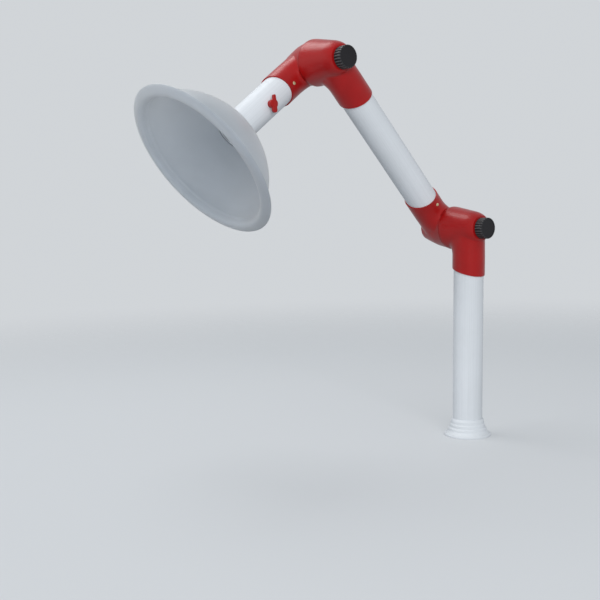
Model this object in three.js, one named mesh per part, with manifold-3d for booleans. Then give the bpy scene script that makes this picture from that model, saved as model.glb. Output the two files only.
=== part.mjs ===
// A bench-mounted fume extraction arm: a post in a flanged base, two turning elbow joints, an arm tube,
// a hood tube with a butterfly damper, and a domed collecting hood.
// Millimetres, +Z up. The origin is the centre of the base's underside, where the arm stands on a bench.
// The joint axes run along X, with the clamp knobs on the +X side, and the arm reaches towards -Y.
import * as THREE from "three";
import { mergeVertices } from "three/addons/utils/BufferGeometryUtils.js";
import Module from "manifold-3d";

const wasm = await Module();
wasm.setup();

// Driving dimensions: ducting
const TUBE_RADIUS = 37.5;
const TUBE_WALL = 3;
const TUBE_BORE = TUBE_RADIUS - TUBE_WALL;
const GAP = 0.3;

// Driving dimensions: pose and lengths of the arm
const LOWER_JOINT_HEIGHT = 532;
const ARM_LENGTH = 536;
const HOOD_REACH = 379;
const JOINT_OFFSET = 97.5;
const ARM_LEAN = THREE.MathUtils.degToRad(42.5);
const HOOD_LEAN = THREE.MathUtils.degToRad(127.5);

// Driving dimensions: elbows
const BARREL_RADIUS = 54.3;
const BARREL_TAPER = 0.198;
const BARREL_BORE = 48;
const BARREL_WALL = 6;
const NOSE_RADIUS = 30.4;
const SHOULDER_START = -1;
const SHOULDER_POWER = 1.5;
const KNOB_SEAT = 41.8;
const SEAT_WALL = 6;
const SEAM_GAP = 1;
const SEAM_SHIFT = 6;
const SEAM_EDGE = 1;
const THROAT_RADIUS = 40.4;
const THROAT_BEND = 68;
const SOCKET_RADIUS = 41.2;
const SOCKET_LENGTH = 108;
const SOCKET_STOP = 50;
const RIM_SLANT = 0.31;
const SPIGOT_BORE = 44.2;
const SPIGOT_LENGTH = 6;
const SPIGOT_ROOT = 8;
const SEAL_WIDTH = 3;
const SEAL_DEPTH = 2.4;

// Driving dimensions: clamp hardware on the joint axis
const ROD_RADIUS = 4;
const ROD_HOLE = 4.4;
const WASHER_THICKNESS = 1.6;
const NUT_RADIUS = 7.5;
const NUT_HEIGHT = 6.5;
const NUT_DOME = 5.5;
const NUT_DOME_RADIUS = 6.2;
const NUT_WASHER_RADIUS = 12;
const KNOB_RADIUS = 24.8;
const KNOB_RIB = 1.4;
const KNOB_RIBS = 24;
const KNOB_HEIGHT = 21.2;
const KNOB_BEVEL = 1.2;
const KNOB_FACE_RIM = 3.2;
const KNOB_FACE_DEPTH = 0.8;
const KNOB_WASHER_RADIUS = 15;
const INSERT_RADIUS = 8;
const INSERT_HEIGHT = 13;
const INSERT_DEPTH = 5;
const HEXAGON = 6;

// Driving dimensions: tube screws
const SCREW_REACH = 81;
const SCREW_RADIUS = 1.9;
const SCREW_HOLE = 2.2;
const SCREW_HEAD_RADIUS = 4;
const SCREW_HEAD_HEIGHT = 2.2;
const SCREW_HEAD_TOP = 2.8;

// Driving dimensions: base, with the [radius, height] points of its stepped outside from the top down
const BASE_RADIUS = 60;
const BASE_HEIGHT = 44;
const BASE_SHELF = 6;
const BASE_SEAL_HEIGHT = 26;
const BASE_STEPS = [
  [39.2, BASE_HEIGHT],
  [42, 39],
  [42.4, 31],
  [45, 29],
  [45, 21],
  [49, 19],
  [49.2, 13],
  [54, 7.6],
  [59, 5.4],
  [BASE_RADIUS, 4],
];

// Driving dimensions: hood
const HOOD_RADIUS = 203;
const HOOD_MOUTH = 172;
const HOOD_NECK_REACH = 249;
const HOOD_WALL = 3;
const HOOD_LIP_DEPTH = 12;
const HOOD_BEAD = 3;
const LIP_FLARE = 14;
const LIP_RISE = 6;
const NECK_LENGTH = 26;
const DOME_POWER = 1.74;
const DOME_ROUNDNESS = 1.28;
const DOME_STEPS = 9;

// Driving dimensions: damper
const DAMPER_REACH = 164;
const DAMPER_TURN = THREE.MathUtils.degToRad(55);
const DISC_RADIUS = 33.6;
const DISC_THICKNESS = 2.4;
const HUB_RADIUS = 5.5;
const HUB_LENGTH = 58;
const SPINDLE_RADIUS = 3;
const BUSH_RADIUS = 9;
const BUSH_TOP = 44;
const CAP_RADIUS = 7;
const CAP_THICKNESS = 5;
const SPINDLE_PROUD = 3;
const HANDLE_TOP = 55;
const HANDLE_LENGTH = 41;
const HANDLE_WIDTH = 8.5;
const HANDLE_BEVEL = 1;
const WING_FOOT = 3;

// Facets round a circle
const ROUND = 32;
const BARREL_STEPS = 10;
const BEND_STEPS = 5;
const HOOD_ROUND = 44;
const HARDWARE_ROUND = 12;

// Materials
const plastic = (color, roughness = 0.45) => new THREE.MeshStandardMaterial({ color, roughness, metalness: 0 });
const metal = (color, roughness) => new THREE.MeshStandardMaterial({ color, roughness, metalness: 1 });
const WHITE = plastic(0xd9e0e8);
const RED = plastic(0xa82a26, 0.4);
const BLACK = plastic(0x2b292e, 0.5);
const MILKY = new THREE.MeshStandardMaterial({
  color: 0xb4bfcb,
  roughness: 0.4,
  metalness: 0,
  transparent: true,
  opacity: 0.75,
});
const RUBBER = plastic(0x1c1c1e, 0.9);
const STEEL = metal(0xc4c6c8, 0.3);
const YELLOW_ZINC = metal(0xc8b070, 0.35);
const BRASS = metal(0xc9a24e, 0.35);

// Solids: three.js geometry in, joined or cut, three.js geometry out

function toSolid(geometry) {
  const bare = geometry.clone();
  bare.deleteAttribute("normal");
  bare.deleteAttribute("uv");
  const merged = mergeVertices(bare, 1e-4);
  return new wasm.Manifold(new wasm.Mesh({
    numProp: 3,
    vertProperties: new Float32Array(merged.attributes.position.array),
    triVerts: new Uint32Array(merged.index.array),
  }));
}

function toGeometry(solid) {
  const { vertProperties, triVerts } = solid.getMesh();
  const geometry = new THREE.BufferGeometry();
  geometry.setAttribute("position", new THREE.BufferAttribute(new Float32Array(vertProperties), 3));
  geometry.setIndex(new THREE.BufferAttribute(new Uint32Array(triVerts), 1));
  geometry.computeVertexNormals();
  return geometry;
}

function join(first, ...others) {
  return others.reduce((sum, solid) => sum.add(solid), first);
}

function cut(body, ...tools) {
  return tools.reduce((rest, tool) => rest.subtract(tool), body);
}

function piece(name, solid, material) {
  const mesh = new THREE.Mesh(toGeometry(solid), material);
  mesh.name = name;
  return mesh;
}

// A body turned about Z from a closed outline of [radius, height] points, in clockwise order:
// up the inside, out over the top, down the outside and back in below. The lathe runs the other way.
function turned(outline, facets = ROUND) {
  const points = outline.map(([radius, height]) => new THREE.Vector2(radius, height)).reverse();
  points.push(points[0].clone());
  return toSolid(new THREE.LatheGeometry(points, facets).rotateX(Math.PI / 2));
}

// A solid cylinder along Z from one height to another.
function rod(radius, from, to, facets = ROUND) {
  return turned([[0, from], [0, to], [radius, to], [radius, from]], facets);
}

// A ring along Z from one height to another.
function ring(inner, outer, from, to, facets = ROUND) {
  return turned([[inner, from], [inner, to], [outer, to], [outer, from]], facets);
}

// Points of an elliptical dome, from its full radius at height 0 to a small flat at its top.
function domeOutline(radius, length, steps = 5) {
  const last = 0.8 * (Math.PI / 2);
  return Array.from({ length: steps + 1 }, (_, step) => {
    const angle = (last * step) / steps;
    return [radius * Math.cos(angle), length * Math.sin(angle)];
  });
}

// Lay a body that was made along Z along X, its top towards +X.
const alongX = (solid) => solid.rotate([0, 90, 0]);

// Elbows: the corner is at the origin, the barrel lies along X with its nose towards +X, and the tube
// socket points down. Turned half round about Y it is the plain elbow, with its socket up.

// Where each elbow's barrel ends: the knob elbow's is the longer one.
const MIDDLE = -(JOINT_OFFSET - SEAM_GAP) / 2;
const KNOB_SEAM = MIDDLE - SEAM_SHIFT;
const PLAIN_SEAM = MIDDLE + SEAM_SHIFT;

const SHOULDER_RADIUS = BARREL_RADIUS - BARREL_TAPER * (SHOULDER_START - MIDDLE);

// The barrel narrows evenly from its middle, then goes over a rounded shoulder to the nose.
function barrelRadius(x) {
  const taper = BARREL_TAPER * Math.max(0, Math.min(x, SHOULDER_START) - MIDDLE);
  const share = Math.max(0, (x - SHOULDER_START) / (KNOB_SEAT - SHOULDER_START));
  const rounding = 1 - Math.pow(1 - Math.pow(share, SHOULDER_POWER), 1 / SHOULDER_POWER);
  return BARREL_RADIUS - taper - (SHOULDER_RADIUS - NOSE_RADIUS) * rounding;
}

// The barrel's outline from one place along the axis to another, as [radius, place] points.
function barrelOutline(from, to, radiusAt) {
  return Array.from({ length: BARREL_STEPS + 1 }, (_, step) => {
    const x = THREE.MathUtils.lerp(from, to, step / BARREL_STEPS);
    return [radiusAt(x), x];
  });
}

function elbowBarrel(seam) {
  const outside = barrelOutline(seam + SEAM_EDGE, KNOB_SEAT, barrelRadius).reverse();
  return alongX(turned([[0, seam], [0, KNOB_SEAT], ...outside, [barrelRadius(seam) - SEAM_EDGE, seam]]));
}

function elbowBore(seam) {
  const end = KNOB_SEAT - SEAT_WALL;
  const boreRadius = (x) => Math.min(BARREL_BORE, barrelRadius(x) - BARREL_WALL);
  const outside = barrelOutline(seam + SPIGOT_LENGTH, end, boreRadius).reverse();
  return alongX(turned([[0, seam - 1], [0, end], ...outside, [boreRadius(seam), seam - 1]]));
}

// The full, rounded inside of the bend between the barrel and the socket.
function elbowThroat(seam) {
  const bend = new THREE.CatmullRomCurve3(Array.from({ length: BEND_STEPS + 1 }, (_, step) => {
    const angle = (Math.PI / 2) * (step / BEND_STEPS);
    return new THREE.Vector3(THROAT_BEND * (Math.sin(angle) - 1), 0, THROAT_BEND * (Math.cos(angle) - 1));
  }));
  const round = new THREE.Shape().absarc(0, 0, THROAT_RADIUS, 0, 2 * Math.PI);
  const options = { steps: BEND_STEPS, curveSegments: ROUND / 2, extrudePath: bend };
  const sweep = toSolid(new THREE.ExtrudeGeometry(round, options));
  return cut(sweep, behind(seam + SEAM_EDGE));
}

// Everything on the -X side of a plane across X.
function behind(x) {
  const size = 4 * JOINT_OFFSET;
  return toSolid(new THREE.BoxGeometry(size, size, size)).translate([x - size / 2, 0, 0]);
}

const SOCKET_DEEP = SOCKET_LENGTH + 2 * SOCKET_RADIUS * RIM_SLANT;

// The socket's edge is cut on a slant: it is longest on the side of the clamp knob.
function elbowSocket() {
  const tilt = THREE.MathUtils.radToDeg(Math.atan(RIM_SLANT));
  const slab = new THREE.BoxGeometry(6 * SOCKET_RADIUS, 6 * SOCKET_RADIUS, SOCKET_RADIUS);
  const below = toSolid(slab)
    .translate([0, 0, -SOCKET_RADIUS / 2])
    .rotate([0, tilt, 0])
    .translate([0, 0, -SOCKET_LENGTH]);
  return cut(rod(SOCKET_RADIUS, -SOCKET_DEEP, 0), below);
}

function elbowBody(seam) {
  return join(elbowBarrel(seam), elbowSocket(), elbowThroat(seam));
}

function elbowHollow(seam) {
  return join(
    elbowBore(seam),
    rod(TUBE_BORE, -SOCKET_STOP - 1, 0),
    rod(TUBE_RADIUS + GAP, -SOCKET_DEEP - 1, -SOCKET_STOP),
    alongX(rod(ROD_HOLE, 0, KNOB_SEAT + 1, HARDWARE_ROUND)),
    screwHole(),
  );
}

function knobElbow() {
  const sealSeat = alongX(rod(BARREL_BORE + SEAL_DEPTH, KNOB_SEAM - 1, KNOB_SEAM + SEAL_WIDTH));
  return cut(elbowBody(KNOB_SEAM), elbowHollow(KNOB_SEAM), sealSeat);
}

// The plain elbow carries the spigot that turns inside the knob elbow.
function plainElbow() {
  const root = PLAIN_SEAM + SPIGOT_ROOT;
  const spigot = alongX(ring(SPIGOT_BORE, BARREL_BORE - GAP, PLAIN_SEAM - SPIGOT_LENGTH, root));
  const collar = alongX(ring(SPIGOT_BORE, BARREL_BORE + 1, PLAIN_SEAM + SEAM_EDGE, root));
  const shell = cut(elbowBody(PLAIN_SEAM), elbowHollow(PLAIN_SEAM));
  return join(shell, spigot, collar).rotate([0, 180, 0]);
}

// A rubber ring in the knob elbow's face, around the spigot. The plain elbow's face closes it in.
function sealRing() {
  const outer = BARREL_BORE + SEAL_DEPTH - GAP;
  return alongX(ring(BARREL_BORE, outer, KNOB_SEAM - SEAM_GAP + GAP, KNOB_SEAM + SEAL_WIDTH - GAP));
}

// Clamp hardware, in the knob elbow's frame: the nut end is beyond the plain elbow at -X

const NUT_END = -JOINT_OFFSET - KNOB_SEAT;
const NUT_FOOT = NUT_END - WASHER_THICKNESS - 2 * GAP;
const KNOB_FOOT = KNOB_SEAT + 2 * GAP;
const INSERT_FOOT = KNOB_FOOT + INSERT_DEPTH;

function tieRod() {
  return alongX(rod(ROD_RADIUS, NUT_FOOT - NUT_HEIGHT - 1, INSERT_FOOT + INSERT_HEIGHT - 2, HARDWARE_ROUND));
}

function nutWasher() {
  const top = NUT_END - GAP;
  return alongX(ring(ROD_HOLE, NUT_WASHER_RADIUS, top - WASHER_THICKNESS, top, HARDWARE_ROUND));
}

function capNut() {
  const hexagon = rod(NUT_RADIUS, -NUT_HEIGHT, 0, HEXAGON);
  const crown = domeOutline(NUT_DOME_RADIUS, NUT_DOME).map(([radius, height]) => [radius, -NUT_HEIGHT - height]);
  const tip = crown.at(-1)[1];
  const dome = turned([[0, tip], [0, -1], [NUT_DOME_RADIUS, -1], ...crown], HARDWARE_ROUND);
  const thread = rod(ROD_HOLE, -NUT_HEIGHT - 2, 1, HARDWARE_ROUND);
  return alongX(cut(join(hexagon, dome), thread)).translate([NUT_FOOT, 0, 0]);
}

function knobWasher() {
  const foot = KNOB_SEAT + GAP;
  return alongX(ring(ROD_HOLE, KNOB_WASHER_RADIUS, foot, foot + WASHER_THICKNESS, HARDWARE_ROUND));
}

// The knob's edge: rounded ribs all the way round.
function knobOutline() {
  const shape = new THREE.Shape();
  const perRib = 4;
  const points = Array.from({ length: KNOB_RIBS * perRib }, (_, index) => {
    const angle = (2 * Math.PI * index) / (KNOB_RIBS * perRib);
    const onRib = index % perRib < 2;
    const radius = onRib ? KNOB_RADIUS : KNOB_RADIUS - KNOB_RIB;
    return new THREE.Vector2(radius * Math.cos(angle), radius * Math.sin(angle));
  });
  return shape.setFromPoints(points);
}

function knob() {
  const body = toSolid(new THREE.ExtrudeGeometry(knobOutline(), {
    depth: KNOB_HEIGHT - 2 * KNOB_BEVEL,
    bevelThickness: KNOB_BEVEL,
    bevelSize: KNOB_BEVEL,
    bevelSegments: 1,
  })).translate([0, 0, KNOB_BEVEL]);
  const faceRecess = rod(KNOB_RADIUS - KNOB_FACE_RIM, KNOB_HEIGHT - KNOB_FACE_DEPTH, KNOB_HEIGHT + 1);
  const washerRecess = rod(KNOB_WASHER_RADIUS + 1, -1, WASHER_THICKNESS + GAP, HARDWARE_ROUND);
  const insertPocket = rod(INSERT_RADIUS + 2 * GAP, 0, INSERT_DEPTH + INSERT_HEIGHT + GAP, HEXAGON);
  return alongX(cut(body, faceRecess, washerRecess, insertPocket)).translate([KNOB_FOOT, 0, 0]);
}

function knobInsert() {
  const nut = cut(
    rod(INSERT_RADIUS, INSERT_FOOT, INSERT_FOOT + INSERT_HEIGHT, HEXAGON),
    rod(ROD_HOLE, INSERT_FOOT - 1, INSERT_FOOT + INSERT_HEIGHT + 1, HARDWARE_ROUND),
  );
  return alongX(nut);
}

// Tube screws, in the elbow's frame: through the socket's short side and the tube's wall

function screwHole() {
  return alongX(rod(SCREW_HOLE, -SOCKET_RADIUS - 2, -TUBE_BORE + 2, HARDWARE_ROUND))
    .translate([0, 0, -SCREW_REACH]);
}

function tubeScrew() {
  const seat = -SOCKET_RADIUS - GAP;
  return alongX(turned([
    [0, seat - SCREW_HEAD_HEIGHT],
    [0, -TUBE_BORE + 1],
    [SCREW_RADIUS, -TUBE_BORE + 1],
    [SCREW_RADIUS, seat],
    [SCREW_HEAD_RADIUS, seat],
    [SCREW_HEAD_RADIUS, seat - SCREW_HEAD_HEIGHT / 2],
    [SCREW_HEAD_TOP, seat - SCREW_HEAD_HEIGHT],
  ], HARDWARE_ROUND)).translate([0, 0, -SCREW_REACH]);
}

// Tubes, standing on Z, with holes where screws or the damper pass

function tube(from, to, ...holes) {
  return cut(ring(TUBE_BORE, TUBE_RADIUS, from, to), ...holes);
}

// Base: a stepped collar over a flared flange, bored for the post, with a seal groove

function base() {
  const bore = TUBE_RADIUS + GAP;
  const body = turned([
    [TUBE_BORE, 0],
    [TUBE_BORE, BASE_SHELF],
    [bore, BASE_SHELF],
    [bore, BASE_HEIGHT],
    ...BASE_STEPS,
    [BASE_RADIUS, 0],
  ]);
  return cut(body, rod(bore + SEAL_DEPTH, BASE_SEAL_HEIGHT, BASE_SEAL_HEIGHT + SEAL_WIDTH));
}

function baseSeal() {
  const inner = TUBE_RADIUS + GAP;
  return ring(inner, inner + SEAL_DEPTH - GAP, BASE_SEAL_HEIGHT + GAP, BASE_SEAL_HEIGHT + SEAL_WIDTH - GAP);
}

// Hood: a blown dome on an inner neck, flaring at the mouth to a beaded lip

function domeRadius(share) {
  const inner = TUBE_RADIUS + GAP;
  const swell = Math.pow(1 - Math.pow(1 - share, DOME_POWER), 1 / DOME_ROUNDNESS);
  return inner + (HOOD_MOUTH - inner) * swell;
}

// The dome from its neck to its mouth, as [radius, reach] points, set in by the wall for its inside.
function domeOutside(inset) {
  const depth = HOOD_REACH - HOOD_LIP_DEPTH - HOOD_NECK_REACH;
  return Array.from({ length: DOME_STEPS }, (_, step) => {
    const share = (step + 1) / DOME_STEPS;
    return [domeRadius(share) - inset, HOOD_NECK_REACH + depth * share + inset * (1 - share)];
  });
}

function hood() {
  const neck = TUBE_RADIUS + GAP;
  const neckEnd = HOOD_NECK_REACH + NECK_LENGTH;
  const inside = domeOutside(HOOD_WALL).filter(([, reach]) => reach > HOOD_NECK_REACH + 2 * HOOD_WALL);
  const flareIn = HOOD_MOUTH + LIP_FLARE - HOOD_WALL;
  return turned([
    [neck, HOOD_NECK_REACH],
    [neck, neckEnd],
    [neck + HOOD_WALL, neckEnd],
    ...inside,
    [HOOD_MOUTH, HOOD_REACH - LIP_RISE],
    [flareIn, HOOD_REACH - HOOD_WALL],
    [HOOD_RADIUS - HOOD_BEAD - 1, HOOD_REACH - 1],
    [HOOD_RADIUS - HOOD_BEAD / 2, HOOD_REACH],
    [HOOD_RADIUS, HOOD_REACH - HOOD_BEAD / 2],
    [HOOD_RADIUS, HOOD_REACH - HOOD_BEAD - 1],
    [HOOD_RADIUS - HOOD_BEAD, HOOD_REACH - HOOD_BEAD - 2],
    [HOOD_MOUTH + LIP_FLARE, HOOD_REACH - LIP_RISE],
    [HOOD_MOUTH + HOOD_WALL, HOOD_REACH - LIP_RISE - HOOD_WALL],
    ...domeOutside(0).reverse(),
  ], HOOD_ROUND);
}

// Damper, in the hood tube's frame: the spindle lies along X, the handle is on its +X end

function spindleHole() {
  return alongX(rod(SPINDLE_RADIUS + GAP, -TUBE_RADIUS - 1, TUBE_RADIUS + 1, HARDWARE_ROUND))
    .translate([0, 0, DAMPER_REACH]);
}

function damperSpindle() {
  return alongX(rod(SPINDLE_RADIUS, -TUBE_RADIUS - SPINDLE_PROUD, HANDLE_TOP - SPINDLE_PROUD, HARDWARE_ROUND));
}

function damperDisc() {
  const blade = alongX(rod(DISC_RADIUS, -DISC_THICKNESS / 2, DISC_THICKNESS / 2)).rotate([0, 0, 90]);
  const hub = alongX(rod(HUB_RADIUS, -HUB_LENGTH / 2, HUB_LENGTH / 2, HARDWARE_ROUND));
  const bore = alongX(rod(SPINDLE_RADIUS + GAP, -DISC_RADIUS - 1, DISC_RADIUS + 1, HARDWARE_ROUND));
  return cut(join(blade, hub), bore);
}

function tubeSkin() {
  return rod(TUBE_RADIUS + GAP, -2 * BUSH_RADIUS, 2 * BUSH_RADIUS);
}

function damperBush() {
  return cut(alongX(ring(SPINDLE_RADIUS + GAP, BUSH_RADIUS, TUBE_BORE, BUSH_TOP, HARDWARE_ROUND)), tubeSkin());
}

function damperCap() {
  const end = -TUBE_RADIUS - CAP_THICKNESS;
  const body = alongX(rod(CAP_RADIUS, end, -TUBE_BORE, HARDWARE_ROUND));
  const bottom = -TUBE_RADIUS - SPINDLE_PROUD - GAP;
  const pocket = alongX(rod(SPINDLE_RADIUS + GAP, bottom, 0, HARDWARE_ROUND));
  return cut(body, tubeSkin(), pocket);
}

// A round boss with a wing across it, thicker at the boss and rounded at the tips.
function damperHandle() {
  const foot = BUSH_TOP + GAP;
  const boss = rod(BUSH_RADIUS, foot, HANDLE_TOP - 2 * HANDLE_BEVEL, HARDWARE_ROUND);
  const tip = HANDLE_WIDTH / 2;
  const reach = HANDLE_LENGTH / 2 - tip;
  const shape = new THREE.Shape()
    .moveTo(-tip, -reach)
    .absarc(0, -reach, tip, Math.PI, 2 * Math.PI)
    .lineTo(tip, reach)
    .absarc(0, reach, tip, 0, Math.PI);
  const wing = toSolid(new THREE.ExtrudeGeometry(shape, {
    depth: HANDLE_TOP - foot - WING_FOOT - HANDLE_BEVEL,
    bevelThickness: HANDLE_BEVEL,
    bevelSize: HANDLE_BEVEL,
    bevelOffset: -HANDLE_BEVEL,
    bevelSegments: 2,
    curveSegments: 8,
  })).translate([0, 0, foot + WING_FOOT]);
  const socket = rod(SPINDLE_RADIUS + GAP, foot - 1, HANDLE_TOP - SPINDLE_PROUD + GAP, HARDWARE_ROUND);
  return alongX(cut(join(boss, wing), socket)).rotate([90, 0, 0]);
}

// One turning joint's pieces on the fixed side, in the knob elbow's frame
function addKnobSide(group, joint) {
  group.add(
    piece(`${joint}_knob_elbow`, knobElbow(), RED),
    piece(`${joint}_knob_elbow_screw`, tubeScrew(), YELLOW_ZINC),
    piece(`${joint}_seal_ring`, sealRing(), RUBBER),
    piece(`${joint}_knob_washer`, knobWasher(), STEEL),
    piece(`${joint}_knob`, knob(), BLACK),
    piece(`${joint}_knob_insert`, knobInsert(), BRASS),
  );
}

// One turning joint's pieces on the moving side, in a group that turns about the joint axis
function addPlainSide(group, joint) {
  const elbow = piece(`${joint}_plain_elbow`, plainElbow(), RED);
  const screw = piece(`${joint}_plain_elbow_screw`, tubeScrew().rotate([0, 180, 0]), YELLOW_ZINC);
  elbow.position.x = -JOINT_OFFSET;
  screw.position.x = -JOINT_OFFSET;
  group.add(
    elbow,
    screw,
    piece(`${joint}_tie_rod`, tieRod(), STEEL),
    piece(`${joint}_nut_washer`, nutWasher(), STEEL),
    piece(`${joint}_cap_nut`, capNut(), STEEL),
  );
}

// Assembly: base, post, then the arm turning on the post and the hood turning on the arm

const fumeArm = new THREE.Group();
fumeArm.name = "fume_extraction_arm";

const postTop = LOWER_JOINT_HEIGHT - SOCKET_STOP - GAP;
const knobScrew = (height) => screwHole().translate([0, 0, height]);
const plainScrew = () => screwHole().rotate([0, 180, 0]);

fumeArm.add(
  piece("base_flange", base(), WHITE),
  piece("base_seal_ring", baseSeal(), RUBBER),
  piece("post_tube", tube(BASE_SHELF + GAP, postTop, knobScrew(LOWER_JOINT_HEIGHT)), WHITE),
);

const lowerJoint = new THREE.Group();
lowerJoint.position.z = LOWER_JOINT_HEIGHT;
addKnobSide(lowerJoint, "lower");
fumeArm.add(lowerJoint);

const arm = new THREE.Group();
arm.rotation.x = ARM_LEAN;
addPlainSide(arm, "lower");
lowerJoint.add(arm);

const tubeEnd = SOCKET_STOP + GAP;
const armTube = piece("arm_tube", tube(tubeEnd, ARM_LENGTH - tubeEnd, plainScrew(), knobScrew(ARM_LENGTH)), WHITE);
armTube.position.x = -JOINT_OFFSET;
arm.add(armTube);

const upperJoint = new THREE.Group();
upperJoint.position.set(-JOINT_OFFSET, 0, ARM_LENGTH);
addKnobSide(upperJoint, "upper");
arm.add(upperJoint);

const hoodArm = new THREE.Group();
hoodArm.rotation.x = HOOD_LEAN - ARM_LEAN;
addPlainSide(hoodArm, "upper");
upperJoint.add(hoodArm);

const hoodTubeEnd = HOOD_NECK_REACH + NECK_LENGTH - 2;
const hoodDuct = new THREE.Group();
hoodDuct.position.x = -JOINT_OFFSET;
hoodDuct.add(
  piece("hood_tube", tube(tubeEnd, hoodTubeEnd, plainScrew(), spindleHole()), WHITE),
  piece("hood", hood(), MILKY),
);
hoodArm.add(hoodDuct);

const damper = new THREE.Group();
damper.position.z = DAMPER_REACH;
damper.add(
  piece("damper_bush", damperBush(), RED),
  piece("damper_cap", damperCap(), RED),
);
hoodDuct.add(damper);

const damperTurn = new THREE.Group();
damperTurn.rotation.x = DAMPER_TURN;
damperTurn.add(
  piece("damper_spindle", damperSpindle(), STEEL),
  piece("damper_disc", damperDisc(), WHITE),
  piece("damper_handle", damperHandle(), RED),
);
damper.add(damperTurn);

export default fumeArm;
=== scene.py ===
"""Dresses a bench-mounted fume extraction arm.

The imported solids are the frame: a flanged base, a post, two swivel joints that ribbed knobs clamp, an arm
tube, and a hood tube with a butterfly damper and a milky hood. Each piece that shows is made again here as
a smooth moulding and painted, and each hidden piece of the frame gets its own finish. Shapes are drawn in
millimetres in their own sub-assembly and placed in the frame of the solids in metres.
"""

import logging
import math
from dataclasses import dataclass, field
from enum import Enum
from typing import Callable, Sequence

import bmesh
import bpy
import numpy as np
from mathutils import Matrix, Vector


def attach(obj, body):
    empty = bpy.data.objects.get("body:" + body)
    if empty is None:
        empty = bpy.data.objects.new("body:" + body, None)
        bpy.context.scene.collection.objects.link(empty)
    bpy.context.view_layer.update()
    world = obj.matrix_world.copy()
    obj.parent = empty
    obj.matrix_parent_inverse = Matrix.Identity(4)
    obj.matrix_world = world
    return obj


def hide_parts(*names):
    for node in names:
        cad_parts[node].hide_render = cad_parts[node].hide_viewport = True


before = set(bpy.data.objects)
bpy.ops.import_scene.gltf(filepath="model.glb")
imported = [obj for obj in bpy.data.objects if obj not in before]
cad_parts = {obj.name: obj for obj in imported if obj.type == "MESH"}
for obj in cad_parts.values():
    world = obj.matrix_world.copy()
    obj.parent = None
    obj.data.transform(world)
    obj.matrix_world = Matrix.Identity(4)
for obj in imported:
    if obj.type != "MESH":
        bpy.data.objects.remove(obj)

LOG = logging.getLogger("fume_arm")
IMAGE_SIZE = 600
METRES = Matrix.Scale(0.001, 4)
# Faces round a smooth shape and round a small one
SMOOTH_ROUND = 128
SMALL_ROUND = 48
# Smallest sizes that count, in millimetres
SAME_POINT = 0.001
WELD_REACH = 1e-5
ON_AXIS = 1e-6
# Most of an edge that the rounding at one end of it may take
EDGE_SHARE = 0.48
SHARP_ANGLE = math.radians(40)
# Height of the grain on a skin, in metres, and the duct's outside radius, in millimetres
GRAIN_HEIGHT = 0.0006
TUBE_RADIUS = 37.5

Colour = tuple[float, float, float]
Outline = list[tuple[float, float]]
Link = bpy.types.NodeSocket | float | tuple[float, ...] | Vector
Links = dict[str | int, Link]


class Body(Enum):
    """The bodies of the frame that pieces ride on."""

    BASE = "base"
    POST = "post"
    LOWER_CLAMP = "lower_clamp"
    ARM = "arm"
    UPPER_CLAMP = "upper_clamp"
    HOOD_ARM = "hood_arm"
    DAMPER = "damper"


class Slot(Enum):
    """The material slots that a scene may repaint."""

    WHITE = "white_plastic"
    RED = "red_plastic"
    BLACK = "black_plastic"
    MILKY = "milky_plastic"
    RUBBER = "rubber"
    STEEL = "steel"
    YELLOW_ZINC = "yellow_zinc"
    BRASS = "brass"


class Carve(Enum):
    """What a tool does to the body that it meets."""

    CUT = "DIFFERENCE"
    JOIN = "UNION"
    KEEP = "INTERSECT"


class ElbowKind(Enum):
    """The two elbows of a joint."""

    KNOB = "knob"
    PLAIN = "plain"


# Shader groups


class ShaderGroup:
    """A shader node group in the making, with named inputs and outputs."""

    def __init__(self, name: str) -> None:
        """Starts an empty group.

        Args:
            name: the group's name.
        """
        self.tree = bpy.data.node_groups.new(name, "ShaderNodeTree")
        self.entry = self.tree.nodes.new("NodeGroupInput")
        self.exit = self.tree.nodes.new("NodeGroupOutput")

    def takes(self, name: str, kind: str, default: object = None) -> None:
        """Adds a named input.

        Args:
            name: the input's name.
            kind: Float, Color or Vector.
            default: its value where a material sets none.
        """
        socket = self.tree.interface.new_socket(name, in_out="INPUT", socket_type=f"NodeSocket{kind}")
        if default is not None:
            socket.default_value = default

    def gives(self, name: str, kind: str, source: bpy.types.NodeSocket) -> None:
        """Adds a named output of a kind, Float, Color or Vector, that a socket feeds."""
        self.tree.interface.new_socket(name, in_out="OUTPUT", socket_type=f"NodeSocket{kind}")
        self.tree.links.new(source, self.exit.inputs[name])

    def input(self, name: str) -> bpy.types.NodeSocket:
        """Returns the socket of a named input."""
        return self.entry.outputs[name]

    def add(self, kind: str, links: Links, **settings: object) -> bpy.types.Node:
        """Adds a node, by its type without the ShaderNode prefix, and returns it."""
        return add_node(self.tree, f"ShaderNode{kind}", links, **settings)


def add_node(tree: bpy.types.NodeTree, kind: str, links: Links, **settings: object) -> bpy.types.Node:
    """Adds a node to a tree and feeds its inputs.

    Args:
        tree: the tree to add to.
        kind: the node's type.
        links: for each input, the socket that feeds it or its value.
        settings: the node's own settings.

    Returns:
        The new node.
    """
    node = tree.nodes.new(kind)
    for name, value in settings.items():
        setattr(node, name, value)
    for name, value in links.items():
        if isinstance(value, bpy.types.NodeSocket):
            tree.links.new(value, node.inputs[name])
        else:
            node.inputs[name].default_value = value
    return node


def mixed_colour(
    tree: bpy.types.NodeTree,
    share: bpy.types.NodeSocket,
    first: Link,
    second: Link,
) -> bpy.types.NodeSocket:
    """Mixes two colours.

    Args:
        tree: the tree to add to.
        share: the share of the second colour.
        first: the first colour.
        second: the second colour.

    Returns:
        The socket of the mixed colour.
    """
    node = add_node(tree, "ShaderNodeMix", {0: share, 6: first, 7: second}, data_type="RGBA")
    return node.outputs[2]


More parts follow.
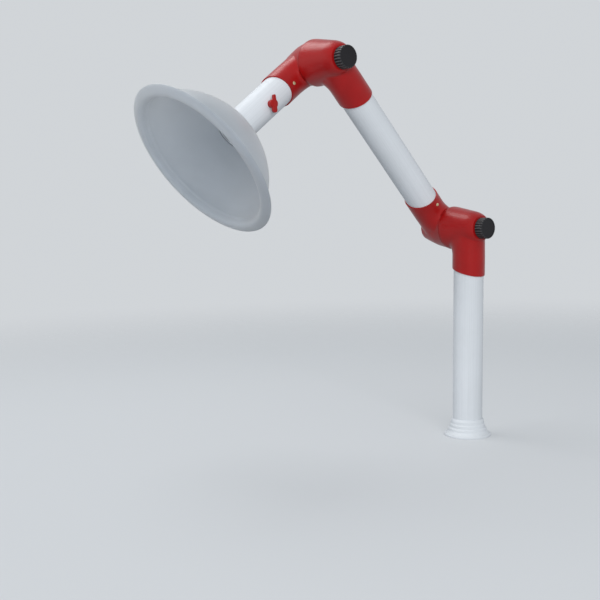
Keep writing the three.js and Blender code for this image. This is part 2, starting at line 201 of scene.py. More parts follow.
def shared_group(name: str, build: Callable[[ShaderGroup], None]) -> bpy.types.NodeTree:
    """Finds a shader group, or builds it the first time.

    Args:
        name: the group's name.
        build: fills a new group.

    Returns:
        The group's tree.
    """
    found = bpy.data.node_groups.get(name)
    if found:
        return found
    group = ShaderGroup(name)
    build(group)
    return group.tree


def moulded_skin(group: ShaderGroup) -> None:
    """Fills the group for the skin of a moulded piece: slow mottling, uneven gloss and a fine grain.

    Args:
        group: the empty group.
    """
    group.takes("Vector", "Vector")
    group.takes("Colour", "Color", (0.8, 0.8, 0.8, 1))
    group.takes("Shade Colour", "Color", (0.7, 0.7, 0.7, 1))
    group.takes("Roughness", "Float", 0.4)
    group.takes("Roughness Spread", "Float", 0.1)
    group.takes("Mottle Scale", "Float", 14.0)
    group.takes("Grain Scale", "Float", 1200.0)
    vector = group.input("Vector")
    mottle = group.add("TexNoise", {"Vector": vector, "Scale": group.input("Mottle Scale"), "Detail": 4.0})
    span = {"Value": mottle.outputs["Fac"], "From Min": 0.32, "From Max": 0.68}
    eased = group.add("MapRange", span, interpolation_type="SMOOTHSTEP").outputs["Result"]
    colour = mixed_colour(group.tree, eased, group.input("Colour"), group.input("Shade Colour"))
    smear = group.add("TexNoise", {"Vector": vector, "Scale": 37.0, "Detail": 5.0, "Distortion": 0.6})
    centred = group.add("Math", {0: smear.outputs["Fac"], 1: 0.5}, operation="SUBTRACT")
    wide = group.input("Roughness Spread")
    spread = group.add("Math", {0: centred.outputs[0], 1: wide}, operation="MULTIPLY")
    roughness = group.add("Math", {0: group.input("Roughness"), 1: spread.outputs[0]}, operation="ADD")
    grain = group.add("TexNoise", {"Vector": vector, "Scale": group.input("Grain Scale"), "Detail": 2.0})
    group.gives("Colour", "Color", colour)
    group.gives("Roughness", "Float", roughness.outputs[0])
    group.gives("Height", "Float", grain.outputs["Fac"])


def drawn_lines(group: ShaderGroup) -> None:
    """Fills the group for the faint lines that a die leaves along a drawn tube, which runs along Z.

    Args:
        group: the empty group.
    """
    group.takes("Vector", "Vector")
    group.takes("Across Scale", "Float", 420.0)
    group.takes("Along Scale", "Float", 3.0)
    place = group.add("SeparateXYZ", {"Vector": group.input("Vector")})
    angle = group.add("Math", {0: place.outputs["Y"], 1: place.outputs["X"]}, operation="ARCTAN2")
    turn = group.add("Math", {0: angle.outputs[0], 1: TUBE_RADIUS / 1000}, operation="MULTIPLY")
    across = group.add("Math", {0: turn.outputs[0], 1: group.input("Across Scale")}, operation="MULTIPLY")
    along = group.add("Math", {0: place.outputs["Z"], 1: group.input("Along Scale")}, operation="MULTIPLY")
    unrolled = group.add("CombineXYZ", {"X": across.outputs[0], "Y": along.outputs[0]})
    lines = group.add("TexNoise", {"Vector": unrolled.outputs["Vector"], "Scale": 1.0, "Detail": 3.0})
    group.gives("Line", "Float", lines.outputs["Fac"])


def settled_dust(group: ShaderGroup) -> None:
    """Fills the group for thin dust on faces that look up.

    Args:
        group: the empty group.
    """
    group.takes("Vector", "Vector")
    group.takes("Colour", "Color", (0.8, 0.8, 0.8, 1))
    group.takes("Dust Colour", "Color", (0.6, 0.6, 0.58, 1))
    group.takes("Amount", "Float", 0.1)
    facing = group.add("TexCoord", {})
    normal = group.add("SeparateXYZ", {"Vector": facing.outputs["Normal"]})
    span = {"Value": normal.outputs["Z"], "From Min": 0.2, "From Max": 1.0}
    upward = group.add("MapRange", span, interpolation_type="SMOOTHSTEP")
    patches = group.add("TexNoise", {"Vector": group.input("Vector"), "Scale": 60.0, "Detail": 6.0})
    links = {0: upward.outputs["Result"], 1: patches.outputs["Fac"]}
    broken = group.add("Math", links, operation="MULTIPLY")
    amount = group.add("Math", {0: broken.outputs[0], 1: group.input("Amount")}, operation="MULTIPLY")
    colour = mixed_colour(group.tree, amount.outputs[0], group.input("Colour"), group.input("Dust Colour"))
    group.gives("Colour", "Color", colour)


# Finishes


@dataclass(frozen=True)
class Coat:
    """A material in the making: its tree, its shader, the coordinates of its patterns and its skin."""

    tree: bpy.types.NodeTree
    shader: bpy.types.Node
    place: bpy.types.NodeSocket
    skin: bpy.types.Node

    def group(self, name: str, build: Callable[[ShaderGroup], None]) -> bpy.types.Node:
        """Places a shared group that reads the coordinates, and returns its node."""
        return placed_group(self.tree, name, build, self.place)


def placed_group(
    tree: bpy.types.NodeTree,
    name: str,
    build: Callable[[ShaderGroup], None],
    place: bpy.types.NodeSocket,
) -> bpy.types.Node:
    """Places a shared group in a material.

    Args:
        tree: the material's tree.
        name: the group's name.
        build: fills the group the first time.
        place: the coordinates that it reads.

    Returns:
        The group's node.
    """
    node = add_node(tree, "ShaderNodeGroup", {}, node_tree=shared_group(name, build))
    tree.links.new(place, node.inputs["Vector"])
    return node


def principled(tree: bpy.types.NodeTree) -> bpy.types.Node:
    """Returns the shader of a new material."""
    return next(node for node in tree.nodes if node.type == "BSDF_PRINCIPLED")


@dataclass(frozen=True)
class Finish:
    """A moulded plastic or rubber skin; other finishes build on it."""

    name: str
    slot: Slot
    colour: Colour
    shade: Colour
    roughness: float = 0.4
    spread: float = 0.12
    mottle: float = 14.0
    grain: float = 1200.0
    grain_depth: float = 0.08
    dust: float = 0.0
    metallic: float = 0.0
    shine: float = 0.5

    def material(self) -> bpy.types.Material:
        """Returns the finish's material, built the first time it is asked for."""
        return bpy.data.materials.get(self.name) or self._build()

    def _build(self) -> bpy.types.Material:
        """Builds the material.

        Returns:
            The new material.
        """
        material = bpy.data.materials.new(self.name)
        material.use_nodes = True
        tree = material.node_tree
        shader = principled(tree)
        shader.inputs["Metallic"].default_value = self.metallic
        shader.inputs["Specular IOR Level"].default_value = self.shine
        place = self._place(tree)
        coat = Coat(tree, shader, place, placed_group(tree, "moulded_skin", moulded_skin, place))
        values = {
            "Colour": (*self.colour, 1), "Shade Colour": (*self.shade, 1), "Roughness": self.roughness,
            "Roughness Spread": self.spread, "Mottle Scale": self.mottle, "Grain Scale": self.grain,
        }
        for name, value in values.items():
            coat.skin.inputs[name].default_value = value
        colour = self._detail(coat)
        if self.dust:
            dust = coat.group("settled_dust", settled_dust)
            dust.inputs["Amount"].default_value = self.dust
            tree.links.new(colour, dust.inputs["Colour"])
            colour = dust.outputs["Colour"]
        tree.links.new(colour, shader.inputs["Base Color"])
        tree.links.new(coat.skin.outputs["Roughness"], shader.inputs["Roughness"])
        return material

    def _place(self, tree: bpy.types.NodeTree) -> bpy.types.NodeSocket:
        """Returns the coordinates that the patterns read."""
        return add_node(tree, "ShaderNodeTexCoord", {}).outputs["Object"]

    def _detail(self, coat: Coat) -> bpy.types.NodeSocket:
        """Adds the grain to the shader's normal and returns the socket of the colour so far."""
        self._bump(coat, coat.skin.outputs["Height"])
        return coat.skin.outputs["Colour"]

    def _bump(self, coat: Coat, height: bpy.types.NodeSocket) -> None:
        """Feeds a height to the shader's normal.

        Args:
            coat: the material in the making.
            height: the height over the surface.
        """
        links = {"Height": height, "Strength": self.grain_depth, "Distance": GRAIN_HEIGHT}
        bump = add_node(coat.tree, "ShaderNodeBump", links)
        coat.tree.links.new(bump.outputs["Normal"], coat.shader.inputs["Normal"])


@dataclass(frozen=True)
class DrawnTube(Finish):
    """The skin of a drawn plastic tube, with faint lines along it."""

    start: tuple[float, float, float] = (0.0, 0.0, 0.0)
    lean: float = 0.0
    line_shade: float = 0.06

    def _place(self, tree: bpy.types.NodeTree) -> bpy.types.NodeSocket:
        """Adds coordinates turned so that the tube runs along Z.

        Args:
            tree: the material's tree.

        Returns:
            The socket of the coordinates.
        """
        place = add_node(tree, "ShaderNodeTexCoord", {}).outputs["Object"]
        turn = {"Vector": place, "Location": self.start, "Rotation": (self.lean, 0.0, 0.0)}
        return add_node(tree, "ShaderNodeMapping", turn, vector_type="TEXTURE").outputs["Vector"]

    def _detail(self, coat: Coat) -> bpy.types.NodeSocket:
        """Adds the lines to the colour and the normal.

        Args:
            coat: the material in the making.

        Returns:
            The socket of the colour so far.
        """
        lines = coat.group("drawn_lines", drawn_lines)
        self._bump(coat, lines.outputs["Line"])
        span = {
            "Value": lines.outputs["Line"], "From Min": 0.35, "From Max": 0.65,
            "To Min": 1.0 - self.line_shade, "To Max": 1.0,
        }
        tone = add_node(coat.tree, "ShaderNodeMapRange", span).outputs["Result"]
        links = {0: coat.skin.outputs["Colour"], "Scale": tone}
        return add_node(coat.tree, "ShaderNodeVectorMath", links, operation="SCALE").outputs["Vector"]


@dataclass(frozen=True)
class RibbedGrip(Finish):
    """The skin of a ribbed knob, with a painted highlight along its crests."""

    # Painted highlight: the pale colour that the rib crests are lightened towards, and how strongly
    crest_highlight: Colour = (0.08, 0.08, 0.09)
    crest_highlight_strength: float = 0.5

    def _detail(self, coat: Coat) -> bpy.types.NodeSocket:
        """Adds the painted crest highlight to the colour and the grain to the normal.

        Args:
            coat: the material in the making.

        Returns:
            The socket of the colour so far.
        """
        tree = coat.tree
        colour = super()._detail(coat)
        # Painted highlight: the crest mask, broken up by noise, lightens the colour towards a pale grey
        crest = add_node(tree, "ShaderNodeAttribute", {}, attribute_name="crest")
        crest_highlight_breakup = add_node(tree, "ShaderNodeTexNoise", {"Vector": coat.place, "Scale": 160.0, "Detail": 4.0})
        links = {0: crest.outputs["Fac"], 1: crest_highlight_breakup.outputs["Fac"]}
        crest_highlight = add_node(tree, "ShaderNodeMath", links, operation="MULTIPLY").outputs[0]
        share = add_node(tree, "ShaderNodeMath", {0: crest_highlight, 1: self.crest_highlight_strength}, operation="MULTIPLY").outputs[0]
        return mixed_colour(tree, share, colour, (*self.crest_highlight, 1))


@dataclass(frozen=True)
class MilkySheet(Finish):
    """A milky blown sheet that lets some light through, with a painted sheen that pales it where it is seen
    edge on.
    """

    transmission: float = 0.25
    refraction: float = 1.46
    milk: float = 0.8
    milk_depth: float = 0.02
    # Painted sheen: the pale colour mixed in where the sheet is seen edge on, and how wide that band is
    edge: Colour = (0.86, 0.90, 0.94)
    edge_sheen_blend: float = 0.30

    def _build(self) -> bpy.types.Material:
        """Builds the material and lets light through it.

        Returns:
            The new material.
        """
        material = super()._build()
        shader = principled(material.node_tree)
        shader.inputs["Transmission Weight"].default_value = self.transmission
        shader.inputs["IOR"].default_value = self.refraction
        shader.inputs["Subsurface Weight"].default_value = self.milk
        shader.inputs["Subsurface Radius"].default_value = (1.0, 1.0, 1.0)
        shader.inputs["Subsurface Scale"].default_value = self.milk_depth
        return material

    def _detail(self, coat: Coat) -> bpy.types.NodeSocket:
        """Adds the painted edge sheen to the colour and the grain to the normal.

        Args:
            coat: the material in the making.

        Returns:
            The socket of the colour so far.
        """
        colour = super()._detail(coat)
        # Painted sheen: the facing output lightens the colour towards the edge colour at grazing angles
        facing = add_node(coat.tree, "ShaderNodeLayerWeight", {"Blend": self.edge_sheen_blend}).outputs["Facing"]
        return mixed_colour(coat.tree, facing, colour, (*self.edge, 1))


class Finishes:
    """The finishes of the arm's pieces."""

    RED = Finish(
        "red_moulding", Slot.RED, colour=(0.37, 0.006, 0.006), shade=(0.32, 0.005, 0.005),
        roughness=0.32, mottle=16.0, grain=900.0, grain_depth=0.10, shine=0.36,
    )
    WHITE = Finish(
        "white_moulding", Slot.WHITE, colour=(0.75, 0.785, 0.825), shade=(0.71, 0.745, 0.78),
        roughness=0.42, grain_depth=0.06, dust=0.12,
    )
    BLACK = RibbedGrip(
        "black_grip", Slot.BLACK, colour=(0.012, 0.011, 0.013), shade=(0.009, 0.008, 0.010),
        roughness=0.40, grain=1500.0, grain_depth=0.2, dust=0.02, shine=0.26,
        # Painted highlight along the rib crests
        crest_highlight=(0.17, 0.17, 0.17), crest_highlight_strength=1.1,
    )
    MILKY = MilkySheet(
        "milky_sheet", Slot.MILKY, colour=(0.41, 0.455, 0.51), shade=(0.38, 0.425, 0.475),
        roughness=0.42, mottle=7.0, grain=700.0, grain_depth=0.05,
    )
    RUBBER = Finish(
        "seal_rubber", Slot.RUBBER, colour=(0.016, 0.016, 0.017), shade=(0.026, 0.026, 0.026),
        roughness=0.8, mottle=60.0, grain_depth=0.3,
    )
    STEEL = Finish(
        "bright_zinc", Slot.STEEL, colour=(0.60, 0.61, 0.62), shade=(0.50, 0.51, 0.53),
        roughness=0.30, spread=0.2, mottle=120.0, grain_depth=0.05, metallic=1.0,
    )
    YELLOW_ZINC = Finish(
        "yellow_zinc", Slot.YELLOW_ZINC, colour=(0.82, 0.66, 0.34), shade=(0.72, 0.60, 0.40),
        roughness=0.34, spread=0.2, mottle=200.0, grain_depth=0.05, metallic=1.0,
    )
    BRASS = Finish(
        "turned_brass", Slot.BRASS, colour=(0.72, 0.50, 0.18), shade=(0.60, 0.42, 0.16),
        roughness=0.30, spread=0.2, mottle=160.0, grain_depth=0.05, metallic=1.0,
    )

    @staticmethod
    def tube(name: str, place: Matrix) -> DrawnTube:
        """Returns the white finish of a tube.

        Args:
            name: the material's name.
            place: the tube's frame, in millimetres, with the tube along Z.

        Returns:
            The finish.
        """
        start = tuple(place.translation * 0.001)
        lean = place.to_euler().x
        return DrawnTube(
            name, Slot.WHITE, colour=(0.75, 0.785, 0.825), shade=(0.72, 0.755, 0.79),
            roughness=0.46, spread=0.14, mottle=9.0, grain_depth=0.05, shine=0.28, start=start, lean=lean,
        )


# Shapes


def rounded(corners: Sequence[tuple[float, ...]], radius: float, steps: int = 5) -> Outline:
    """Rounds the corners of a closed outline.

    Args:
        corners: (across, along) points, or (across, along, radius) for a corner with its own radius.
        radius: the radius of the other corners.
        steps: faces in each rounded corner.

    Returns:
        The points of the rounded outline.
    """
    points: Outline = []
    count = len(corners)
    for index, corner in enumerate(corners):
        here = np.array(corner[:2], dtype=float)
        back = np.array(corners[index - 1][:2]) - here
        ahead = np.array(corners[(index + 1) % count][:2]) - here
        reach_back, reach_ahead = np.linalg.norm(back), np.linalg.norm(ahead)
        own = corner[2] if len(corner) > 2 else radius
        reach = min(own, EDGE_SHARE * reach_back, EDGE_SHARE * reach_ahead)
        if reach <= 0 or here[0] <= 0:
            points.append((float(here[0]), float(here[1])))
            continue
        first, last = here + back / reach_back * reach, here + ahead / reach_ahead * reach
        for step in range(steps + 1):
            share = step / steps
            spot = (1 - share) ** 2 * first + 2 * share * (1 - share) * here + share**2 * last
            points.append((float(spot[0]), float(spot[1])))
    return points


def arc(across: float, along: float, start: float, end: float, steps: int) -> Outline:
    """Gives the points of an elliptic arc.

    Args:
        across: its half width.
        along: its half height.
        start: the angle at its start, in radians.
        end: the angle at its end.
        steps: its number of edges.

    Returns:
        The points, both ends included.
    """
    angles = [start + (end - start) * step / steps for step in range(steps + 1)]
    return [(across * math.cos(angle), along * math.sin(angle)) for angle in angles]


def divided(outline: Outline, step: float) -> Outline:
    """Divides the long edges of a closed outline.

    Args:
        outline: the outline's points.
        step: the longest edge to leave.

    Returns:
        The outline with points added.
    """
    points: Outline = []
    for here, ahead in zip(outline, outline[1:] + outline[:1]):
        parts = max(1, math.ceil(math.dist(here, ahead) / step))
        if here[0] <= 0 and ahead[0] <= 0:
            parts = 1
        for part in range(parts):
            share = part / parts
            points.append((here[0] + (ahead[0] - here[0]) * share, here[1] + (ahead[1] - here[1]) * share))
    return points


def mesh_of(name: str, points: Sequence[Sequence[float]], faces: Sequence[Sequence[int]]) -> bpy.types.Mesh:
    """Makes a mesh with its faces outwards.

    Args:
        name: the mesh's name.
        points: its corners.
        faces: its faces.

    Returns:
        The mesh.
    """
    mesh = bpy.data.meshes.new(name)
    mesh.from_pydata(points, [], faces)
    shell = bmesh.new()
    shell.from_mesh(mesh)
    bmesh.ops.remove_doubles(shell, verts=shell.verts, dist=WELD_REACH)
    bmesh.ops.recalc_face_normals(shell, faces=shell.faces)
    shell.to_mesh(mesh)
    shell.free()
    return mesh


def lathe(name: str, outline: Outline, segments: int = SMOOTH_ROUND) -> bpy.types.Mesh:
    """Turns a closed outline about Z.

    Args:
        name: the mesh's name.
        outline: (radius, height) points; those on the axis close the shape there.
        segments: faces round the axis.

    Returns:
        The mesh.
    """
    points: list[tuple[float, float, float]] = []
    rings: list[list[int]] = []
    for radius, height in outline:
        count = segments if radius > ON_AXIS else 1
        start = len(points)
        for step in range(count):
            angle = 2 * math.pi * step / segments
            points.append((radius * math.cos(angle), radius * math.sin(angle), height))
        rings.append([start + step % count for step in range(segments)])
    faces: list[tuple[int, ...]] = []
    for lower, upper in zip(rings, rings[1:] + rings[:1]):
        for step in range(segments):
            ahead = (step + 1) % segments
            corners = dict.fromkeys((lower[step], lower[ahead], upper[ahead], upper[step]))
            if len(corners) > 2:
                faces.append(tuple(corners))
    return mesh_of(name, points, faces)


def prism(name: str, outline: Outline, low: float, high: float) -> bpy.types.Mesh:
    """Raises a flat outline along Z.

    Args:
        name: the mesh's name.
        outline: the outline's points.
        low: the height of its foot.
        high: the height of its top.

    Returns:
        The mesh.
    """
    count = len(outline)
    points = [(x, y, low) for x, y in outline] + [(x, y, high) for x, y in outline]
    sides = [(step, (step + 1) % count, count + (step + 1) % count, count + step) for step in range(count)]
    return mesh_of(name, points, [tuple(range(count)), tuple(range(count, 2 * count)), *sides])


def block(name: str, low: Sequence[float], high: Sequence[float]) -> bpy.types.Mesh:
    """Returns a box between two corners, for cutting."""
    outline = [(low[0], low[1]), (high[0], low[1]), (high[0], high[1]), (low[0], high[1])]
    return prism(name, outline, low[2], high[2])


def bar(name: str, radius: float, low: float, high: float, segments: int = SMOOTH_ROUND) -> bpy.types.Mesh:
    """Returns a round bar along Z, for cutting and joining."""
    return lathe(name, [(0, low), (radius, low), (radius, high), (0, high)], segments)


def turned(mesh: bpy.types.Mesh, matrix: Matrix) -> bpy.types.Mesh:
    """Places a mesh and returns it."""
    mesh.transform(matrix)
    return mesh


ALONG_X = Matrix.Rotation(math.pi / 2, 4, "Y")


def settled(shown: bpy.types.Object) -> bpy.types.Mesh:
    """Turns an object's finished shape into a plain mesh and removes the object.

    Args:
        shown: the object, with its modifiers.

    Returns:
        The plain mesh.
    """
    graph = bpy.context.evaluated_depsgraph_get()
    finished = shown.evaluated_get(graph)
    mesh = bpy.data.meshes.new_from_object(finished, preserve_all_data_layers=True, depsgraph=graph)
    shown.modifiers.clear()
    bpy.data.objects.remove(shown)
    return cleaned(mesh)


def cleaned(mesh: bpy.types.Mesh) -> bpy.types.Mesh:
    """Merges points that fall together and drops the faces that close up.

    Args:
        mesh: the mesh, in millimetres.

    Returns:
        The same mesh.
    """
    shell = bmesh.new()
    shell.from_mesh(mesh)
    bmesh.ops.dissolve_degenerate(shell, edges=shell.edges, dist=SAME_POINT)
    shell.to_mesh(mesh)
    shell.free()
    return mesh


def bench(mesh: bpy.types.Mesh) -> bpy.types.Object:
    """Puts a mesh on the bench as an object to work on.

    Args:
        mesh: the mesh.

    Returns:
        The object.
    """
    shown = bpy.data.objects.new(mesh.name, mesh)
    bpy.context.scene.collection.objects.link(shown)
    return shown


def carved(body: bpy.types.Mesh, *work: tuple[Carve, bpy.types.Mesh]) -> bpy.types.Mesh:
    """Cuts and joins tools into a body, one after the other.

    Args:
        body: the body's mesh.
        work: what each tool does, and its mesh.

    Returns:
        The mesh of the result.
    """
    shown = bench(body)
    tools = []
    for action, mesh in work:
        tool = bench(mesh)
        modifier = shown.modifiers.new(mesh.name, "BOOLEAN")
        modifier.operation = action.value
        modifier.solver = "MANIFOLD"
        modifier.object = tool
        tools.append(tool)
    result = settled(shown)
    for tool in tools:
        bpy.data.objects.remove(tool)
    return result


def softened(mesh: bpy.types.Mesh, width: float, segments: int = 3) -> bpy.types.Mesh:
    """Bevels the sharp edges of a mesh.

    Args:
        mesh: the mesh.
        width: how far the bevel reaches.
        segments: faces across it.

    Returns:
        The mesh of the result.
    """
    shown = bench(mesh)
    modifier = shown.modifiers.new("soft_edge", "BEVEL")
    modifier.width = width
    modifier.segments = segments
    modifier.limit_method = "ANGLE"
    modifier.angle_limit = SHARP_ANGLE
    return settled(shown)


# Geometry Nodes


class Field:
    """A number that varies through space in a Geometry Nodes tree, with plain arithmetic."""

    def __init__(self, tree: bpy.types.NodeTree, socket: bpy.types.NodeSocket) -> None:
        """Wraps the socket of a tree that gives the number."""
        self.tree = tree
        self.socket = socket

    def math(self, operation: str, *others: "Field | float") -> "Field":
        """Combines this number with others by one Math node.

        Args:
            operation: what the node does.
            others: the other numbers, fields or plain ones.

        Returns:
            The result.
        """
        values = [self.socket] + [other.socket if isinstance(other, Field) else other for other in others]
        node = add_node(self.tree, "ShaderNodeMath", dict(enumerate(values)), operation=operation)
        return Field(self.tree, node.outputs[0])

    def __add__(self, other: "Field | float") -> "Field":
        """Returns the sum."""
        return self.math("ADD", other)

    def __sub__(self, other: "Field | float") -> "Field":
        """Returns the difference."""
        return self.math("SUBTRACT", other)

    def __mul__(self, other: "Field | float") -> "Field":
        """Returns the product."""
        return self.math("MULTIPLY", other)

    def __truediv__(self, other: "Field | float") -> "Field":
        """Returns the quotient."""
        return self.math("DIVIDE", other)

    def above(self, floor: float = 0.0) -> "Field":
        """Returns the number, or the floor where it is lower."""
        return self.math("MAXIMUM", floor)

    def blend(self, other: "Field", width: "Field") -> "Field":
        """Returns the lower of two numbers, rounded over a width where they meet."""
        return self.math("SMOOTH_MIN", other, width)


def length(*sides: Field) -> Field:
    """Finds the length of the diagonal over right-angled sides.

    Args:
        sides: the sides.

    Returns:
        The length.
    """
    total = sides[0] * sides[0]
    for side in sides[1:]:
        total = total + side * side
    return total.math("SQRT")


class ShapeTree:
    """A Geometry Nodes tree in the making."""

    def __init__(self, name: str) -> None:
        """Starts a tree that takes and gives a shape.

        Args:
            name: the tree's name.
        """
        self.tree = bpy.data.node_groups.new(name, "GeometryNodeTree")
        self._socket("Geometry", "INPUT", "Geometry")
        self._socket("Geometry", "OUTPUT", "Geometry")
        self.entry = self.tree.nodes.new("NodeGroupInput")
        self.exit = self.tree.nodes.new("NodeGroupOutput")

    def _socket(self, name: str, side: str, kind: str) -> None:
        """Adds a socket to the tree's interface."""
        self.tree.interface.new_socket(name, in_out=side, socket_type=f"NodeSocket{kind}")

    def takes(self, name: str, kind: str = "Float") -> bpy.types.NodeSocket:
        """Adds a named input of a kind and returns the socket that gives its value."""
        self._socket(name, "INPUT", kind)
        return self.entry.outputs[name]

    def size(self, name: str) -> Field:
        """Adds a named size and returns it as a number."""
        return Field(self.tree, self.takes(name))

    def add(self, kind: str, links: Links, **settings: object) -> bpy.types.Node:
        """Adds a node of a full type and returns it."""
        return add_node(self.tree, kind, links, **settings)

    def position(self) -> tuple[Field, Field, Field]:
        """Reads where each point is.

        Returns:
            The three coordinates.
        """
        place = self.add("GeometryNodeInputPosition", {})
        split = self.add("ShaderNodeSeparateXYZ", {"Vector": place.outputs["Position"]})
        return tuple(Field(self.tree, split.outputs[axis]) for axis in "XYZ")

    def finish(self, shape: bpy.types.NodeSocket) -> None:
        """Ends the tree: makes instances real and sets the material.

        Args:
            shape: the socket of the shape.
        """
        paint = self.takes("Finish", "Material")
        real = self.add("GeometryNodeRealizeInstances", {"Geometry": shape})
        links = {"Geometry": real.outputs["Geometry"], "Material": paint}
        painted = self.add("GeometryNodeSetMaterial", links)
        self.tree.links.new(painted.outputs["Geometry"], self.exit.inputs["Geometry"])

    def run(self, mesh: bpy.types.Mesh, **values: object) -> bpy.types.Mesh:
        """Runs the tree on a mesh.

        Args:
            mesh: the mesh that goes in.
            values: the tree's inputs, with underscores for the spaces in their names.

        Returns:
            The plain mesh that comes out.
        """
        shown = bench(mesh)
        modifier = shown.modifiers.new(self.tree.name, "NODES")
        modifier.node_group = self.tree
        for item in self.tree.interface.items_tree:
            key = item.name.replace(" ", "_").lower()
            if item.item_type == "SOCKET" and item.in_out == "INPUT" and key in values:
                modifier[item.identifier] = values[key]
        return settled(shown)


# Sub-assemblies


@dataclass(frozen=True)
class Linkage:
    """Where the sub-assemblies stand, in millimetres and degrees."""

    post_height: float = 532.0
    arm_length: float = 536.0
    joint_offset: float = 97.5
    arm_lean: float = 42.5
    hood_lean: float = 127.5
    damper_reach: float = 164.0
    damper_turn: float = 55.0

    def lower_joint(self) -> Matrix:
        """Returns the frame of the lower knob elbow's corner."""
        return Matrix.Translation((0, 0, self.post_height))

    def arm(self) -> Matrix:
        """Returns the arm's frame, on the lower joint's axis."""
        return self.lower_joint() @ Matrix.Rotation(math.radians(self.arm_lean), 4, "X")

    def arm_duct(self) -> Matrix:
        """Returns the frame of the arm tube, which runs along Z."""
        return self.arm() @ Matrix.Translation((-self.joint_offset, 0, 0))

    def upper_joint(self) -> Matrix:
        """Returns the frame of the upper knob elbow's corner."""
        return self.arm_duct() @ Matrix.Translation((0, 0, self.arm_length))

    def hood_arm(self) -> Matrix:
        """Returns the hood arm's frame, on the upper joint's axis."""
        return self.upper_joint() @ Matrix.Rotation(math.radians(self.hood_lean - self.arm_lean), 4, "X")

    def hood_duct(self) -> Matrix:
        """Returns the frame of the hood tube, which runs along Z."""
        return self.hood_arm() @ Matrix.Translation((-self.joint_offset, 0, 0))

    def damper_seat(self) -> Matrix:
        """Returns the frame of the damper's bush and cap."""
        return self.hood_duct() @ Matrix.Translation((0, 0, self.damper_reach))

    def damper(self) -> Matrix:
        """Returns the frame that turns with the damper."""
        return self.damper_seat() @ Matrix.Rotation(math.radians(self.damper_turn), 4, "X")


LINKAGE = Linkage()


def place_piece(
    name: str,
    mesh: bpy.types.Mesh,
    place: Matrix,
    finish: Finish,
    body: Body,
    *nodes: str,
    crease: float = 32.0,
) -> bpy.types.Object:
    """Puts a finished shape in its place as a piece of the arm.

    Args:
        name: the piece's name.
        mesh: its shape, in millimetres in its own sub-assembly.
        place: the sub-assembly's frame.
        finish: its finish.
        body: the body it rides on.
        nodes: the solids that it stands for.
        crease: the angle in degrees above which an edge stays sharp.

    Returns:
        The piece.
    """
    shape = mesh.copy()
    shape.name = name
    shape.transform(METRES @ place)
    shape.materials.clear()
    shape.materials.append(finish.material())
    shape.polygons.foreach_set("material_index", np.zeros(len(shape.polygons), dtype=np.int32))
    shape.shade_smooth()
    shape.set_sharp_from_angle(angle=math.radians(crease))
    shape.validate()
    piece = bpy.data.objects.new(name, shape)
    bpy.context.scene.collection.objects.link(piece)
    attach(piece, body.value)
    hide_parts(*nodes)
    LOG.info("%s: %d faces on %s", name, len(shape.polygons), body.value)
    return piece


@dataclass
class Duct:
    """The three white tubes."""

    radius: float = TUBE_RADIUS
    bore: float = 34.5
    end_round: float = 0.6
    longest_face: float = 24.0
    post_from: float = 6.3
    post_to: float = 481.7
    arm_from: float = 50.3
    arm_to: float = 485.7
    hood_from: float = 50.3
    hood_to: float = 273.0

    def tube(self, name: str, low: float, high: float) -> bpy.types.Mesh:
        """Returns one tube along Z, from its low end to its high one."""
        corners = [(self.bore, low), (self.bore, high), (self.radius, high), (self.radius, low)]
        return lathe(name, divided(rounded(corners, self.end_round), self.longest_face))

    def build(self) -> None:
        """Makes and places the tubes."""
        runs = [
            ("post_tube", Matrix.Identity(4), Body.POST, self.post_from, self.post_to),
            ("arm_tube", LINKAGE.arm_duct(), Body.ARM, self.arm_from, self.arm_to),
            ("hood_tube", LINKAGE.hood_duct(), Body.HOOD_ARM, self.hood_from, self.hood_to),
        ]
        for node, place, body, low, high in runs:
            finish = Finishes.tube(f"white_{node}", place)
            place_piece(f"{node}_drawn", self.tube(node, low, high), place, finish, body, node)


@dataclass
class Base:
    """The flanged base with its stepped collar."""

    bore: float = 37.8
    duct: float = 34.5
    shelf: float = 6.0
    height: float = 44.0
    radius: float = 60.0
    groove_foot: float = 26.0
    groove_width: float = 3.0
    groove_depth: float = 2.4
    duct_round: float = 0.3
    mouth_round: float = 0.4
    step_round: float = 1.6
    foot_round: float = 0.6
    segments: int = 160
    steps: Outline = field(default_factory=lambda: [
        (39.2, 44.0), (42.0, 39.0), (42.4, 31.0), (45.0, 29.0), (45.0, 21.0),
        (49.0, 19.0), (49.2, 13.0), (54.0, 7.6), (59.0, 5.4), (60.0, 4.0),
    ])

    def flange(self) -> bpy.types.Mesh:
        """Makes the flange.

        Returns:
            The mesh.
        """
        groove = self.bore + self.groove_depth
        groove_top = self.groove_foot + self.groove_width
        corners = [
            (self.duct, 0.0, self.duct_round), (self.duct, self.shelf, self.duct_round),
            (self.bore, self.shelf), (self.bore, self.groove_foot), (groove, self.groove_foot),
            (groove, groove_top), (self.bore, groove_top), (self.bore, self.height, self.mouth_round),
            *[(radius, height, self.step_round) for radius, height in self.steps],
            (self.radius, 0.0, self.foot_round),
        ]
        return lathe("base_flange", rounded(corners, 0.0, 6), self.segments)

    def build(self) -> None:
        """Makes and places the base."""
        ground, node = Matrix.Identity(4), "base_flange"
        place_piece(f"{node}_moulded", self.flange(), ground, Finishes.WHITE, Body.BASE, node, crease=50)


@dataclass(frozen=True)
class BarrelLaw:
    """How an elbow's barrel narrows from its seam to its seat."""

    radius: float
    taper: float
    start: float
    power: float
    fillet: float


